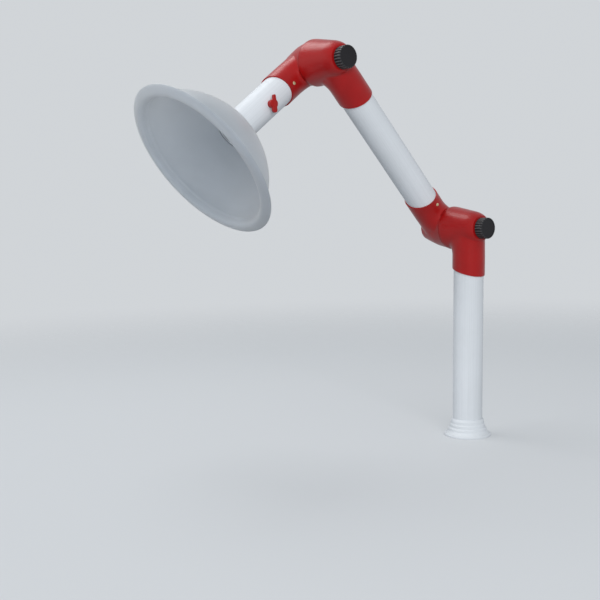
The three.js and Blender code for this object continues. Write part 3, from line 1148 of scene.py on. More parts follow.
@dataclass
class Elbow:
    """A red elbow: a tapering barrel along X, a tube socket below it and a full inside bend."""

    laws: dict[ElbowKind, BarrelLaw] = field(default_factory=lambda: {
        ElbowKind.KNOB: BarrelLaw(radius=54.2, taper=0.185, start=18.0, power=1.7, fillet=2.4),
        ElbowKind.PLAIN: BarrelLaw(radius=54.0, taper=0.185, start=-8.0, power=1.15, fillet=2.4),
    })
    bore: float = 48.0
    wall: float = 6.0
    nose: float = 30.4
    seat: float = 41.8
    seat_wall: float = 6.0
    middle: float = -48.25
    seam_shift: float = 6.0
    seam_edge: float = 1.2
    throat: float = 40.4
    throat_bend: float = 68.0
    socket: float = 40.4
    socket_length: float = 108.0
    socket_stop: float = 50.0
    rim_slant: float = 0.31
    tube: float = 37.8
    passage: float = 34.5
    rod_hole: float = 4.4
    spigot: float = 47.7
    spigot_bore: float = 44.2
    spigot_length: float = 6.0
    spigot_root: float = 8.0
    seal_width: float = 3.0
    seal_depth: float = 2.4
    voxel: float = 1.5
    level: float = 20.0
    cloud_low: tuple[float, float, float] = (-66.0, -60.0, -130.0)
    cloud_high: tuple[float, float, float] = (48.0, 60.0, 60.0)
    evening: int = 3
    bore_steps: int = 28
    tool_reach: float = 120.0
    tool_half: float = 90.0
    tool_depth: float = 150.0
    overcut: float = 2.0
    root_bite: float = 1.0

    def __post_init__(self) -> None:
        """Builds the tree that swells the elbow's outside."""
        self.tree = self._outside_tree()

    def _outside_tree(self) -> ShapeTree:
        """Builds the tree: three round bodies, blended where they meet.

        Returns:
            The tree.
        """
        tree = ShapeTree("elbow_outside")
        barrel, taper, nose = tree.size("Barrel"), tree.size("Taper"), tree.size("Nose")
        middle, seat = tree.size("Middle"), tree.size("Seat")
        start, power = tree.size("Shoulder Start"), tree.size("Shoulder Power")
        socket, throat, bend = tree.size("Socket"), tree.size("Throat"), tree.size("Throat Bend")
        fillet, level = tree.size("Fillet"), tree.size("Level")
        x, y, z = tree.position()
        narrowed = barrel - (x - middle).above() * taper
        share = ((x - start) / (seat - start)).above().math("POWER", power)
        rounding = ((share * -1.0 + 1.0).above()).math("POWER", power.math("POWER", -1.0)) * -1.0 + 1.0
        shoulder = barrel - (seat - middle) * taper - nose
        round_barrel = length(y, z) - (narrowed - shoulder * rounding)
        round_socket = length(x, y, z.above()) - socket
        ring = length((x + bend).above(), (z + bend).above()) - bend
        round_throat = length(ring, y) - throat
        body = round_barrel.blend(round_throat, fillet).blend(round_socket, fillet)
        density = (level - body).above()
        low, high = Vector(self.cloud_low), Vector(self.cloud_high)
        counts = [math.ceil(side / self.voxel) for side in high - low]
        cloud = tree.add("GeometryNodeVolumeCube", {
            "Density": density.socket, "Background": 0.0, "Min": low, "Max": high,
            "Resolution X": counts[0], "Resolution Y": counts[1], "Resolution Z": counts[2],
        })
        links = {"Volume": cloud.outputs["Volume"], "Threshold": level.socket}
        skin = tree.add("GeometryNodeVolumeToMesh", links)
        place = tree.add("GeometryNodeInputPosition", {})
        even = tree.add("GeometryNodeBlurAttribute", {"Iterations": self.evening}, data_type="FLOAT_VECTOR")
        vector_in = next(socket for socket in even.inputs if socket.enabled and socket.type == "VECTOR")
        vector_out = next(socket for socket in even.outputs if socket.enabled and socket.type == "VECTOR")
        tree.tree.links.new(place.outputs["Position"], vector_in)
        links = {"Geometry": skin.outputs["Mesh"], "Position": vector_out}
        smooth = tree.add("GeometryNodeSetPosition", links)
        tree.finish(smooth.outputs["Geometry"])
        return tree

    def barrel_radius(self, law: BarrelLaw, x: float) -> float:
        """Finds the barrel's outside radius at a place along it.

        Args:
            law: how the barrel narrows.
            x: the place.

        Returns:
            The radius.
        """
        narrowed = law.radius - law.taper * max(0.0, x - self.middle)
        share = max(0.0, (x - law.start) / (self.seat - law.start))
        rounding = 1 - max(0.0, 1 - share**law.power) ** (1 / law.power)
        shoulder = law.radius - law.taper * (self.seat - self.middle) - self.nose
        return narrowed - shoulder * rounding

    def _bore(self, law: BarrelLaw, seam: float) -> bpy.types.Mesh:
        """Makes the hollow of the barrel.

        Args:
            law: how the barrel narrows.
            seam: where the barrel is cut open.

        Returns:
            The mesh of the hollow.
        """
        start, end = seam - self.overcut, self.seat - self.seat_wall
        places = np.linspace(start, end, self.bore_steps)
        inside = [(min(self.bore, self.barrel_radius(law, x) - self.wall), float(x)) for x in places]
        return turned(lathe("bore", [(0, start), *inside, (0, end)]), ALONG_X)

    def _rim(self) -> bpy.types.Mesh:
        """Makes the slab that cuts the socket's edge on a slant.

        Returns:
            The mesh.
        """
        far = self.tool_reach
        slab = block("rim", (-far, -far, -far / 2), (far, far, 0))
        tilt = Matrix.Rotation(math.atan(self.rim_slant), 4, "Y")
        return turned(slab, Matrix.Translation((0, 0, -self.socket_length)) @ tilt)

    def _seam_edge(self, law: BarrelLaw, seam: float) -> bpy.types.Mesh:
        """Makes the ring that takes the corner off the barrel's open end.

        Args:
            law: how the barrel narrows.
            seam: where the barrel is cut open.

        Returns:
            The mesh.
        """
        outside = self.barrel_radius(law, seam)
        proud, reach = 0.6, 3.0
        corners = [
            (outside - self.seam_edge - reach, seam - reach), (outside + proud, seam - reach),
            (outside + proud, seam + self.seam_edge + proud),
        ]
        return turned(lathe("seam_edge", corners), ALONG_X)

    def shape(self, kind: ElbowKind) -> bpy.types.Mesh:
        """Makes one elbow with its corner at the origin.

        Args:
            kind: the knob elbow, whose barrel is the longer, or the plain one.

        Returns:
            The mesh.
        """
        law = self.laws[kind]
        seam = self.middle - self.seam_shift if kind is ElbowKind.KNOB else self.middle + self.seam_shift
        outside = self.tree.run(
            bpy.data.meshes.new("elbow"), finish=Finishes.RED.material(), barrel=law.radius,
            taper=law.taper, nose=self.nose, middle=self.middle, seat=self.seat, shoulder_start=law.start,
            shoulder_power=law.power, socket=self.socket, throat=self.throat,
            throat_bend=self.throat_bend, fillet=law.fillet, level=self.level,
        )
        far, half, stop = self.tool_reach, self.tool_half, -self.socket_stop
        rod_hole = bar("rod_hole", self.rod_hole, 0, self.seat + self.overcut, SMALL_ROUND)
        work = [
            (Carve.CUT, block("open_end", (-far, -half, -half), (seam, half, half))),
            (Carve.CUT, block("seat", (self.seat, -half, -half), (far, half, half))),
            (Carve.CUT, self._rim()),
            (Carve.CUT, self._seam_edge(law, seam)),
            (Carve.CUT, self._bore(law, seam)),
            (Carve.CUT, bar("passage", self.passage, stop - 1, 0)),
            (Carve.CUT, bar("socket", self.tube, -self.tool_depth, stop)),
            (Carve.CUT, turned(rod_hole, ALONG_X)),
        ]
        if kind is ElbowKind.KNOB:
            deep = self.bore + self.seal_depth
            seat = bar("seal_seat", deep, seam - self.overcut, seam + self.seal_width)
            work.append((Carve.CUT, turned(seat, ALONG_X)))
        else:
            work.append((Carve.JOIN, self._spigot(seam)))
        return carved(outside, *work)

    def _spigot(self, seam: float) -> bpy.types.Mesh:
        """Makes the spigot that turns inside the knob elbow, with its root collar.

        Args:
            seam: the plain elbow's open end.

        Returns:
            The mesh.
        """
        tip, step, root = seam - self.spigot_length, seam + self.seam_edge, seam + self.spigot_root
        collar = self.bore + self.root_bite
        corners = [
            (self.spigot_bore, tip), (self.spigot, tip), (self.spigot, step), (collar, step),
            (collar, root), (self.spigot_bore, root),
        ]
        return turned(lathe("spigot", corners), ALONG_X)

    def build(self) -> None:
        """Makes and places the four elbows."""
        knob, plain = self.shape(ElbowKind.KNOB), self.shape(ElbowKind.PLAIN)
        half_turn = Matrix.Rotation(math.pi, 4, "Y")
        runs = [
            ("lower_knob_elbow", knob, LINKAGE.lower_joint(), Body.POST),
            ("lower_plain_elbow", plain, LINKAGE.arm_duct() @ half_turn, Body.ARM),
            ("upper_knob_elbow", knob, LINKAGE.upper_joint(), Body.ARM),
            ("upper_plain_elbow", plain, LINKAGE.hood_duct() @ half_turn, Body.HOOD_ARM),
        ]
        for node, mesh, place, body in runs:
            place_piece(f"{node}_moulded", mesh, place, Finishes.RED, body, node)


@dataclass
class ClampKnob:
    """The ribbed clamp knob, standing on Z before it is laid along the joint's axis."""

    radius: float = 26.0
    height: float = 21.2
    edge: float = 2.0
    foot: float = 42.4
    ribs: int = 24
    rib_depth: float = 1.6
    rib_foot: float = 1.4
    rib_top: float = 19.4
    rib_fade: float = 1.5
    rib_inset: float = 2.6
    rib_slope: float = 1.6
    crest_power: float = 0.55
    # Sharpens the mask of the painted highlight on the rib crests
    crest_highlight_power: float = 3.0
    face_rim: float = 3.2
    face_depth: float = 0.9
    washer_recess: float = 16.0
    washer_depth: float = 1.9
    pocket: float = 8.9
    pocket_depth: float = 18.4
    inner_round: float = 0.2
    foot_round: float = 1.2
    rim_round: float = 0.8
    face_round: float = 0.5
    face_slope: float = 0.6
    longest_face: float = 0.9
    faces_per_rib: int = 12

    def _ribs_tree(self) -> ShapeTree:
        """Builds the tree that presses the grooves between the ribs into a plain knob.

        Returns:
            The tree.
        """
        tree = ShapeTree("knob_ribs")
        ribs, depth = tree.size("Ribs"), tree.size("Depth")
        radius, foot, top = tree.size("Radius"), tree.size("Foot"), tree.size("Top")
        x, y, z = tree.position()
        reach = length(x, y)
        wave = (y.math("ARCTAN2", x) * ribs).math("COSINE") * 0.5 + 0.5
        crest = wave.math("POWER", self.crest_power)
        outer = ((reach - radius + self.rib_inset) / self.rib_slope).math("MINIMUM", 1.0).above()
        lower = ((z - foot) / self.rib_fade).math("MINIMUM", 1.0).above()
        upper = ((top - z) / self.rib_fade).math("MINIMUM", 1.0).above()
        press = (crest - 1.0) * depth * outer * lower * upper
        share = press / reach.above(1.0)
        inwards = {"X": (x * share).socket, "Y": (y * share).socket, "Z": 0.0}
        shift = tree.add("ShaderNodeCombineXYZ", inwards)
        links = {"Geometry": tree.entry.outputs["Geometry"], "Offset": shift.outputs["Vector"]}
        pressed = tree.add("GeometryNodeSetPosition", links)
        # Mask of the painted highlight along the rib crests, stored as the crest attribute
        crest_highlight = wave.math("POWER", self.crest_highlight_power) * outer
        stored = tree.add(
            "GeometryNodeStoreNamedAttribute",
            {"Geometry": pressed.outputs["Geometry"], "Name": "crest", "Value": crest_highlight.socket},
            data_type="FLOAT", domain="POINT",
        )
        tree.finish(stored.outputs["Geometry"])
        return tree

    def shape(self) -> bpy.types.Mesh:
        """Makes the knob.

        Returns:
            The mesh.
        """
        rim, face = self.radius - self.face_rim, self.height - self.face_depth
        inner = self.inner_round
        corners = [
            (0, self.pocket_depth), (self.pocket, self.pocket_depth, inner),
            (self.pocket, self.washer_depth, inner), (self.washer_recess, self.washer_depth, inner),
            (self.washer_recess, 0), (self.radius, 0, self.foot_round),
            (self.radius, self.height, self.edge), (rim, self.height, self.rim_round),
            (rim - self.face_slope, face, self.face_round), (0, face),
        ]
        outline = divided(rounded(corners, 0.3, 6), self.longest_face)
        plain = lathe("knob", outline, self.faces_per_rib * self.ribs)
        return self._ribs_tree().run(
            plain, finish=Finishes.BLACK.material(), ribs=float(self.ribs), depth=self.rib_depth,
            radius=self.radius, foot=self.rib_foot, top=self.rib_top,
        )

    def build(self) -> None:
        """Makes and places the two knobs."""
        laid = Matrix.Translation((self.foot, 0, 0)) @ ALONG_X
        knob = self.shape()
        runs = [
            ("lower_knob", LINKAGE.lower_joint() @ laid, Body.LOWER_CLAMP),
            ("upper_knob", LINKAGE.upper_joint() @ laid, Body.UPPER_CLAMP),
        ]
        for node, place, body in runs:
            place_piece(f"{node}_ribbed", knob, place, Finishes.BLACK, body, node, crease=60)


@dataclass
class ClampNut:
    """The cap nut and washer on the far end of each joint."""

    end: float = -139.3
    gap: float = 0.3
    washer: float = 12.0
    washer_thickness: float = 1.6
    rod_hole: float = 4.4
    corner: float = 7.5
    height: float = 6.5
    chamfer: float = 0.9
    dome: float = 5.5
    dome_radius: float = 6.2
    edge_round: float = 0.35

    def nut(self) -> bpy.types.Mesh:
        """Makes the cap nut, its foot at the origin and its dome along Z.

        Returns:
            The mesh.
        """
        hexagon = arc(self.corner, self.corner, 0.0, 2 * math.pi, 6)[:-1]
        proud, shoulder = self.corner + 0.2, self.height - self.chamfer
        chamfer = [
            (0, 0), (self.corner - 0.8, 0), (proud, self.chamfer), (proud, shoulder),
            (self.corner - self.chamfer, self.height), (0, self.height),
        ]
        crown = [(x, self.height + y) for x, y in arc(self.dome_radius, self.dome, 0.0, math.pi / 2, 10)]
        crown[-1] = (0, self.height + self.dome)
        return carved(
            prism("hexagon", hexagon, 0, self.height),
            (Carve.KEEP, lathe("chamfer", chamfer, SMALL_ROUND)),
            (Carve.JOIN, lathe("crown", [(0, 1), (self.dome_radius, 1), *crown], SMALL_ROUND)),
            (Carve.CUT, bar("thread", self.rod_hole, -1, self.height + 2, SMALL_ROUND)),
        )

    def ring(self) -> bpy.types.Mesh:
        """Makes the washer, its seat at the origin.

        Returns:
            The mesh.
        """
        hole, edge, top = self.rod_hole, self.washer, self.washer_thickness
        corners = [(hole, 0), (hole, top), (edge, top), (edge, 0)]
        return lathe("washer", rounded(corners, self.edge_round, 3), SMALL_ROUND)

    def build(self) -> None:
        """Makes and places the nuts and washers."""
        nut, ring = self.nut(), self.ring()
        seat = Matrix.Translation((self.end - self.gap, 0, 0)) @ ALONG_X.inverted()
        foot = Matrix.Translation((-self.washer_thickness - self.gap, 0, 0)) @ seat
        runs = [("lower", LINKAGE.arm(), Body.ARM), ("upper", LINKAGE.hood_arm(), Body.HOOD_ARM)]
        for joint, place, body in runs:
            washer, cap = f"{joint}_nut_washer", f"{joint}_cap_nut"
            place_piece(f"{washer}_pressed", ring, place @ seat, Finishes.STEEL, body, washer)
            place_piece(f"{cap}_turned", nut, place @ foot, Finishes.STEEL, body, cap)


@dataclass
class TubeScrews:
    """The cross-slotted screws that hold the elbows to their tubes."""

    head: float = 4.0
    head_height: float = 2.2
    head_edge: float = 0.5
    head_fullness: float = 0.6
    shank: float = 1.8
    shank_length: float = 6.0
    slot_width: float = 0.9
    slot_length: float = 4.6
    slot_depth: float = 1.2
    seat: float = 40.7
    reach: float = 81.0

    def screw(self) -> bpy.types.Mesh:
        """Makes one screw, its seat at the origin and its head along Z.

        Returns:
            The mesh.
        """
        rise = self.head_height - self.head_edge
        crown = [
            (self.head * max(0.0, x) ** self.head_fullness, self.head_edge + rise * y)
            for x, y in arc(1.0, 1.0, 0.0, math.pi / 2, 8)
        ]
        crown[-1] = (0, self.head_height)
        shank = [(0, -self.shank_length), (self.shank, -self.shank_length), (self.shank, 0)]
        outline = [*shank, (self.head, 0), *crown]
        half, side = self.slot_length / 2, self.slot_width / 2
        floor, roof = self.head_height - self.slot_depth, self.head_height + 1
        return carved(
            lathe("screw", outline, SMALL_ROUND),
            (Carve.CUT, block("slot", (-half, -side, floor), (half, side, roof))),
            (Carve.CUT, block("cross_slot", (-side, -half, floor), (side, half, roof))),
        )

    def _tree(self) -> ShapeTree:
        """Builds the tree that stands a screw on each point, along the point's own direction.

        Returns:
            The tree.
        """
        tree = ShapeTree("tube_screws")
        screw = tree.takes("Screw", "Object")
        read = tree.add("GeometryNodeObjectInfo", {"Object": screw})
        facing = tree.add("GeometryNodeInputNamedAttribute", {"Name": "facing"}, data_type="FLOAT_VECTOR")
        ahead = {"Vector": facing.outputs["Attribute"]}
        aimed = tree.add("FunctionNodeAlignRotationToVector", ahead, axis="Z")
        points = tree.add("GeometryNodeMeshToPoints", {"Mesh": tree.entry.outputs["Geometry"]})
        stood = tree.add("GeometryNodeInstanceOnPoints", {
            "Points": points.outputs["Points"], "Instance": read.outputs["Geometry"],
            "Rotation": aimed.outputs["Rotation"],
        })
        tree.finish(stood.outputs["Instances"])
        return tree

    def _carrier(self, name: str, spots: list[Matrix]) -> bpy.types.Mesh:
        """Makes a mesh of loose points, each with the direction that its screw faces.

        Args:
            name: the mesh's name.
            spots: the frame of each screw, its head along Z.

        Returns:
            The mesh.
        """
        mesh = bpy.data.meshes.new(name)
        mesh.from_pydata([spot.translation for spot in spots], [], [])
        facing = mesh.attributes.new("facing", "FLOAT_VECTOR", "POINT")
        for item, spot in zip(facing.data, spots):
            item.vector = spot.to_3x3() @ Vector((0, 0, 1))
        return mesh

    def build(self) -> None:
        """Makes and places the screws, one mesh for each body."""
        tree = self._tree()
        screw = bench(self.screw())
        on_knob_elbow = Matrix.Translation((-self.seat, 0, -self.reach)) @ ALONG_X.inverted()
        on_plain_elbow = Matrix.Rotation(math.pi, 4, "Y") @ on_knob_elbow
        lower_knob = LINKAGE.lower_joint() @ on_knob_elbow
        lower_plain = LINKAGE.arm_duct() @ on_plain_elbow
        upper_knob = LINKAGE.upper_joint() @ on_knob_elbow
        upper_plain = LINKAGE.hood_duct() @ on_plain_elbow
        arm_nodes = ["lower_plain_elbow_screw", "upper_knob_elbow_screw"]
        runs = [
            ("post_screws", Body.POST, [lower_knob], ["lower_knob_elbow_screw"]),
            ("arm_screws", Body.ARM, [lower_plain, upper_knob], arm_nodes),
            ("hood_arm_screws", Body.HOOD_ARM, [upper_plain], ["upper_plain_elbow_screw"]),
        ]
        for name, body, spots, nodes in runs:
            mesh = tree.run(self._carrier(name, spots), finish=Finishes.YELLOW_ZINC.material(), screw=screw)
            place_piece(name, mesh, Matrix.Identity(4), Finishes.YELLOW_ZINC, body, *nodes)
        bpy.data.objects.remove(screw)


@dataclass
class Hood:
    """The milky hood: a neck on the tube, a blown dome and a lip that rolls forwards to its edge."""

    neck: float = 37.8
    neck_from: float = 249.0
    neck_to: float = 275.0
    wall: float = 3.0
    mouth: float = 172.0
    reach: float = 379.0
    lip_depth: float = 12.0
    radius: float = 201.5
    roll: float = 7.5
    dome_power: float = 1.74
    dome_roundness: float = 1.28
    steps: int = 56
    step_growth: float = 1.4
    segments: int = 192

    def dome(self, inset: float) -> Outline:
        """Gives the dome's curve from its neck to its mouth.

        Args:
            inset: how far inside the outer surface.

        Returns:
            The points, as (radius, reach).
        """
        depth = self.reach - self.lip_depth - self.neck_from
        points: Outline = []
        for step in range(1, self.steps + 1):
            share = (step / self.steps) ** self.step_growth
            swell = (1 - (1 - share) ** self.dome_power) ** (1 / self.dome_roundness)
            radius = self.neck + (self.mouth - self.neck) * swell
            points.append((radius - inset, self.neck_from + depth * share + inset * (1 - share)))
        return points

    def shape(self) -> bpy.types.Mesh:
        """Makes the hood along Z.

        Returns:
            The mesh.
        """
        inside = [point for point in self.dome(self.wall) if point[1] > self.neck_from + 2 * self.wall]
        outside = self.dome(0.0)[::-1]
        neck = [
            (self.neck, self.neck_from), (self.neck, self.neck_to), (self.neck + self.wall, self.neck_to),
        ]
        return lathe("hood", rounded([*neck, *inside, *self.lip(), *outside], 0.0, 6), self.segments)

    def lip(self) -> list[tuple[float, float, float]]:
        """Gives the lip's outline: its front from the mouth outwards, its edge, and its back inwards.

        Returns:
            The corners, as (radius, reach, rounding).
        """
        mouth, edge, end, crest = self.mouth, self.radius, self.reach, self.reach + self.roll
        front = [
            (mouth - 1.4, end - 9.0, 5.0), (mouth + 1.0, crest - 5.0, 5.0), (mouth + 8.0, crest, 7.0),
            (mouth + 15.0, crest - 0.6, 6.0), (edge - 6.0, crest - 4.6, 4.0), (edge - 1.6, end, 2.0),
        ]
        rim = [(edge, end - 2.0, 1.4), (edge, end - 4.0, 1.2), (edge - 2.6, end - 4.2, 1.0)]
        back = [
            (edge - 7.6, crest - 7.2, 4.0), (mouth + 14.2, crest - 3.6, 5.0),
            (mouth + 9.2, crest - 3.4, 4.0), (mouth + 4.0, crest - 6.6, 4.0), (mouth + 1.8, end - 9.0, 4.0),
        ]
        return front + rim + back

    def build(self) -> None:
        """Makes and places the hood."""
        place = LINKAGE.hood_duct()
        place_piece("hood_blown", self.shape(), place, Finishes.MILKY, Body.HOOD_ARM, "hood", crease=45)


@dataclass
class Damper:
    """The butterfly damper: a disc on a spindle, a bush, an end cap and a pointer handle."""

    tube: float = 37.8
    disc: float = 33.6
    disc_thickness: float = 2.4
    hub: float = 5.5
    hub_length: float = 58.0
    bush: float = 9.0
    bush_top: float = 44.0
    cap: float = 7.0
    cap_end: float = 42.5
    spindle: float = 3.3
    handle_foot: float = 44.3
    handle_top: float = 55.0
    handle_half: float = 20.5
    blunt_half_width: float = 6.0
    point_half_width: float = 3.4
    wing_foot: float = 47.3
    boss: float = 10.8
    boss_drop: float = 1.6
    collar_foot: float = 30.0
    collar_round: float = 1.2
    cap_hole: float = 40.8
    wing_edge: float = 1.1
    handle_wall: float = 2.7
    tool_half: float = 60.0

    def blade(self) -> bpy.types.Mesh:
        """Makes the disc with its hub along X.

        Returns:
            The mesh.
        """
        half = self.disc_thickness / 2
        corners = [(0, -half), (self.disc, -half), (self.disc, half), (0, half)]
        disc = turned(lathe("disc", rounded(corners, 1.0)), Matrix.Rotation(math.pi / 2, 4, "X"))
        hub = turned(bar("hub", self.hub, -self.hub_length / 2, self.hub_length / 2, SMALL_ROUND), ALONG_X)
        far = self.tool_half
        hole = turned(bar("spindle", self.spindle, -far, far, SMALL_ROUND), ALONG_X)
        return carved(disc, (Carve.JOIN, hub), (Carve.CUT, hole))

    def collar(self, name: str, radius: float, top: float, hole_top: float) -> bpy.types.Mesh:
        """Makes a round seat on the tube's skin, standing along Z.

        Args:
            name: the mesh's name.
            radius: its radius.
            top: the height of its top.
            hole_top: where the spindle's hole ends.

        Returns:
            The mesh.
        """
        foot = self.collar_foot
        corners = [(0, foot), (radius, foot), (radius, top, self.collar_round), (0, top)]
        body = lathe(name, rounded(corners, 0.0), SMALL_ROUND)
        skin = turned(bar("skin", self.tube, -self.tool_half, self.tool_half), ALONG_X)
        hole = bar("hole", self.spindle, 0, hole_top, SMALL_ROUND)
        return carved(body, (Carve.CUT, skin), (Carve.CUT, hole))

    def handle(self) -> bpy.types.Mesh:
        """Makes the handle, standing along Z with its point towards -Y.

        Returns:
            The mesh.
        """
        wide, thin = self.blunt_half_width, self.point_half_width
        far, near = self.handle_half - wide, self.handle_half - thin
        outline = [(x, far + y) for x, y in arc(wide, wide, 0.0, math.pi, 12)]
        outline += [(x, y - near) for x, y in arc(thin, thin, math.pi, 2 * math.pi, 12)]
        wing = softened(prism("wing", outline, self.wing_foot, self.handle_top), self.wing_edge)
        roof = self.handle_top - self.boss_drop
        boss = lathe("boss", rounded([
            (0, self.handle_foot), (self.boss, self.handle_foot, 0.5), (self.boss, roof - 1.6, 2.6),
            (self.boss - 3.4, roof, 2.0), (0, roof),
        ], 1.0), SMALL_ROUND)
        depth = self.handle_top - self.handle_wall
        socket = bar("socket", self.spindle, self.handle_foot - 1, depth, SMALL_ROUND)
        return carved(boss, (Carve.JOIN, wing), (Carve.CUT, socket))

    def build(self) -> None:
        """Makes and places the damper's pieces."""
        seat, turn = LINKAGE.damper_seat(), LINKAGE.damper()
        upright = Matrix.Rotation(math.pi / 2, 4, "X")
        place_piece("damper_disc_moulded", self.blade(), turn, Finishes.WHITE, Body.DAMPER, "damper_disc")
        bush = self.collar("bush", self.bush, self.bush_top, self.bush_top + 1)
        place_piece("damper_bush_moulded", bush, seat @ ALONG_X, Finishes.RED, Body.HOOD_ARM, "damper_bush")
        cap = self.collar("cap", self.cap, self.cap_end, self.cap_hole)
        far_side = seat @ ALONG_X.inverted()
        place_piece("damper_cap_moulded", cap, far_side, Finishes.RED, Body.HOOD_ARM, "damper_cap")
        laid, node = turn @ upright @ ALONG_X, "damper_handle"
        place_piece(f"{node}_moulded", self.handle(), laid, Finishes.RED, Body.DAMPER, node, crease=40)


@dataclass
class HiddenPieces:
    """The solids that stay as they are: seals, rods, inserts, washers and the damper's spindle."""

    finishes: dict[str, Finish] = field(default_factory=lambda: {
        "base_seal_ring": Finishes.RUBBER,
        "lower_seal_ring": Finishes.RUBBER,
        "upper_seal_ring": Finishes.RUBBER,
        "lower_tie_rod": Finishes.STEEL,
        "upper_tie_rod": Finishes.STEEL,
        "lower_knob_washer": Finishes.STEEL,
        "upper_knob_washer": Finishes.STEEL,
        "damper_spindle": Finishes.STEEL,
        "lower_knob_insert": Finishes.BRASS,
        "upper_knob_insert": Finishes.BRASS,
    })

    def build(self) -> None:
        """Paints the solids."""
        for node, finish in self.finishes.items():
            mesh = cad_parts[node].data
            mesh.materials.clear()
            mesh.materials.append(finish.material())
            LOG.info("%s: painted %s", node, finish.name)


@dataclass(frozen=True)
class Lamp:
    """A square soft lamp: where it hangs, its side, its power and whether gloss mirrors it."""

    name: str
    place: tuple[float, float, float]
    side: float
    power: float
    mirrored: bool = True


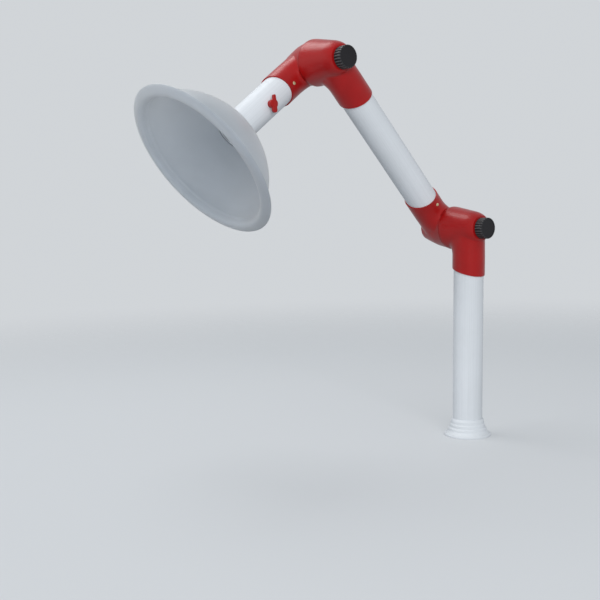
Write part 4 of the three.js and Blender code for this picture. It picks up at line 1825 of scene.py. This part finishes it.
@dataclass
class Studio:
    """The pale floor, the soft light and the camera."""

    yaw: float = 0.9218523
    pitch: float = 0.1495174
    roll: float = -0.018775
    distance: float = 2.46146
    focus: float = 959.54
    centre_row: float = 350.0
    aim_across: float = -0.43101
    aim_height: float = 0.229555
    sensor: float = 36.0
    pale: Colour = (0.74, 0.77, 0.80)
    backdrop: float = 0.86
    floor_bounce: Colour = (0.30, 0.32, 0.34)
    floor_seen: Colour = (0.43, 0.445, 0.46)
    floor_glow: float = 0.36
    floor_roughness: float = 0.9
    floor_shine: float = 0.1
    sky: Colour = (0.90, 0.95, 1.0)
    sky_strength: float = 0.42
    floor_radius: float = 4.0
    fade_from: float = 1.2
    fade_to: float = 3.8
    lamp_aim: tuple[float, float, float] = (-0.15, -0.3, 0.5)
    lamps: tuple[Lamp, ...] = (
        Lamp("overhead", (-1.2, -0.7, 2.6), side=1.2, power=17.0),
        Lamp("front_fill", (4.55, -2.9, 1.7), side=3.2, power=184.0, mirrored=False),
        Lamp("left_fill", (-1.85, -4.9, 1.9), side=2.8, power=56.0, mirrored=False),
    )

    def floor(self) -> None:
        """Makes a round pale floor that fades into the background."""
        rim = arc(self.floor_radius, self.floor_radius, 0.0, 2 * math.pi, SMOOTH_ROUND)[:-1]
        points = [(x, y, 0.0) for x, y in rim]
        faces = [tuple(range(len(points)))]
        mesh = bpy.data.meshes.new("floor")
        mesh.from_pydata(points, [], faces)
        mesh.materials.append(self._floor_material())
        floor = bpy.data.objects.new("floor", mesh)
        bpy.context.scene.collection.objects.link(floor)

    def _floor_material(self) -> bpy.types.Material:
        """Makes the floor's paint, which fades out with distance.

        Returns:
            The material.
        """
        material = bpy.data.materials.new("pale_floor")
        material.use_nodes = True
        tree = material.node_tree
        shader = principled(tree)
        seen = self._seen(tree)
        colour = mixed_colour(tree, seen, (*self.floor_bounce, 1), (*self.floor_seen, 1))
        tree.links.new(colour, shader.inputs["Base Color"])
        glow = add_node(tree, "ShaderNodeMath", {0: seen, 1: self.floor_glow}, operation="MULTIPLY")
        shader.inputs["Emission Color"].default_value = (*self.pale, 1)
        tree.links.new(glow.outputs[0], shader.inputs["Emission Strength"])
        shader.inputs["Roughness"].default_value = self.floor_roughness
        shader.inputs["Specular IOR Level"].default_value = self.floor_shine
        place = add_node(tree, "ShaderNodeTexCoord", {}).outputs["Object"]
        far = add_node(tree, "ShaderNodeVectorMath", {0: place}, operation="LENGTH")
        span = {
            "Value": far.outputs["Value"], "From Min": self.fade_from, "From Max": self.fade_to,
            "To Min": 1.0, "To Max": 0.0,
        }
        fade = add_node(tree, "ShaderNodeMapRange", span, interpolation_type="SMOOTHSTEP")
        tree.links.new(fade.outputs["Result"], shader.inputs["Alpha"])
        return material

    def _seen(self, tree: bpy.types.NodeTree) -> bpy.types.NodeSocket:
        """Tells what is looked at, also mirrored or through a sheet, from what only gets or gives light.

        Args:
            tree: the tree to add to.

        Returns:
            The socket of a mask that is 1 where it is looked at.
        """
        path = add_node(tree, "ShaderNodeLightPath", {})
        mask = path.outputs["Is Camera Ray"]
        for kind in ("Is Glossy Ray", "Is Transmission Ray"):
            links = {0: mask, 1: path.outputs[kind]}
            mask = add_node(tree, "ShaderNodeMath", links, operation="MAXIMUM").outputs[0]
        return mask

    def sky_light(self) -> None:
        """Lights the scene evenly and shows a pale background behind it."""
        world = bpy.data.worlds.new("studio")
        bpy.context.scene.world = world
        world.use_nodes = True
        tree = world.node_tree
        tree.nodes.clear()
        links: Links = {0: self._seen(tree)}
        tones = ((self.sky, self.sky_strength), (self.pale, self.backdrop))
        for index, (colour, strength) in enumerate(tones, start=1):
            tone = {"Color": (*colour, 1), "Strength": strength}
            links[index] = add_node(tree, "ShaderNodeBackground", tone).outputs[0]
        mixed = add_node(tree, "ShaderNodeMixShader", links)
        add_node(tree, "ShaderNodeOutputWorld", {"Surface": mixed.outputs[0]})

    def hang(self, lamp: Lamp) -> None:
        """Hangs a lamp.

        Args:
            lamp: the lamp.
        """
        data = bpy.data.lights.new(lamp.name, "AREA")
        data.size = lamp.side
        data.energy = lamp.power
        hung = bpy.data.objects.new(lamp.name, data)
        hung.visible_glossy = lamp.mirrored
        hung.location = lamp.place
        hung.rotation_euler = (Vector(self.lamp_aim) - Vector(lamp.place)).to_track_quat("-Z", "Y").to_euler()
        bpy.context.scene.collection.objects.link(hung)

    def camera(self) -> None:
        """Sets the camera at the picture's viewing angle."""
        right = Vector((math.cos(self.yaw), math.sin(self.yaw), 0))
        level = Vector((-math.sin(self.yaw), math.cos(self.yaw), 0))
        ahead = level * math.cos(self.pitch) - Vector((0, 0, math.sin(self.pitch)))
        up = Vector((0, 0, math.cos(self.pitch))) + level * math.sin(self.pitch)
        side = right * math.cos(self.roll) + up * math.sin(self.roll)
        top = up * math.cos(self.roll) - right * math.sin(self.roll)
        aim = Vector((0, 0, self.aim_height)) + right * self.aim_across
        data = bpy.data.cameras.new("camera")
        data.sensor_width = self.sensor
        data.lens = self.focus * self.sensor / IMAGE_SIZE
        data.shift_y = (self.centre_row - IMAGE_SIZE / 2) / IMAGE_SIZE
        camera = bpy.data.objects.new("camera", data)
        turn = Matrix((side, top, -ahead)).transposed().to_4x4()
        camera.matrix_world = Matrix.Translation(aim - ahead * self.distance) @ turn
        bpy.context.scene.collection.objects.link(camera)
        bpy.context.scene.camera = camera

    def build(self) -> None:
        """Sets the stage."""
        self.floor()
        self.sky_light()
        for lamp in self.lamps:
            self.hang(lamp)
        self.camera()
        bpy.context.scene.view_settings.view_transform = "Standard"


def main() -> None:
    """Builds the arm piece by piece and sets the stage."""
    logging.basicConfig(level=logging.INFO, format="%(name)s %(message)s")
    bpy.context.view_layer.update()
    assemblies = (
        Base(), Duct(), Elbow(), ClampKnob(), ClampNut(), TubeScrews(), Hood(), Damper(), HiddenPieces(),
        Studio(),
    )
    for assembly in assemblies:
        LOG.info("building %s", type(assembly).__name__)
        assembly.build()


if __name__ == "__main__":
    main()
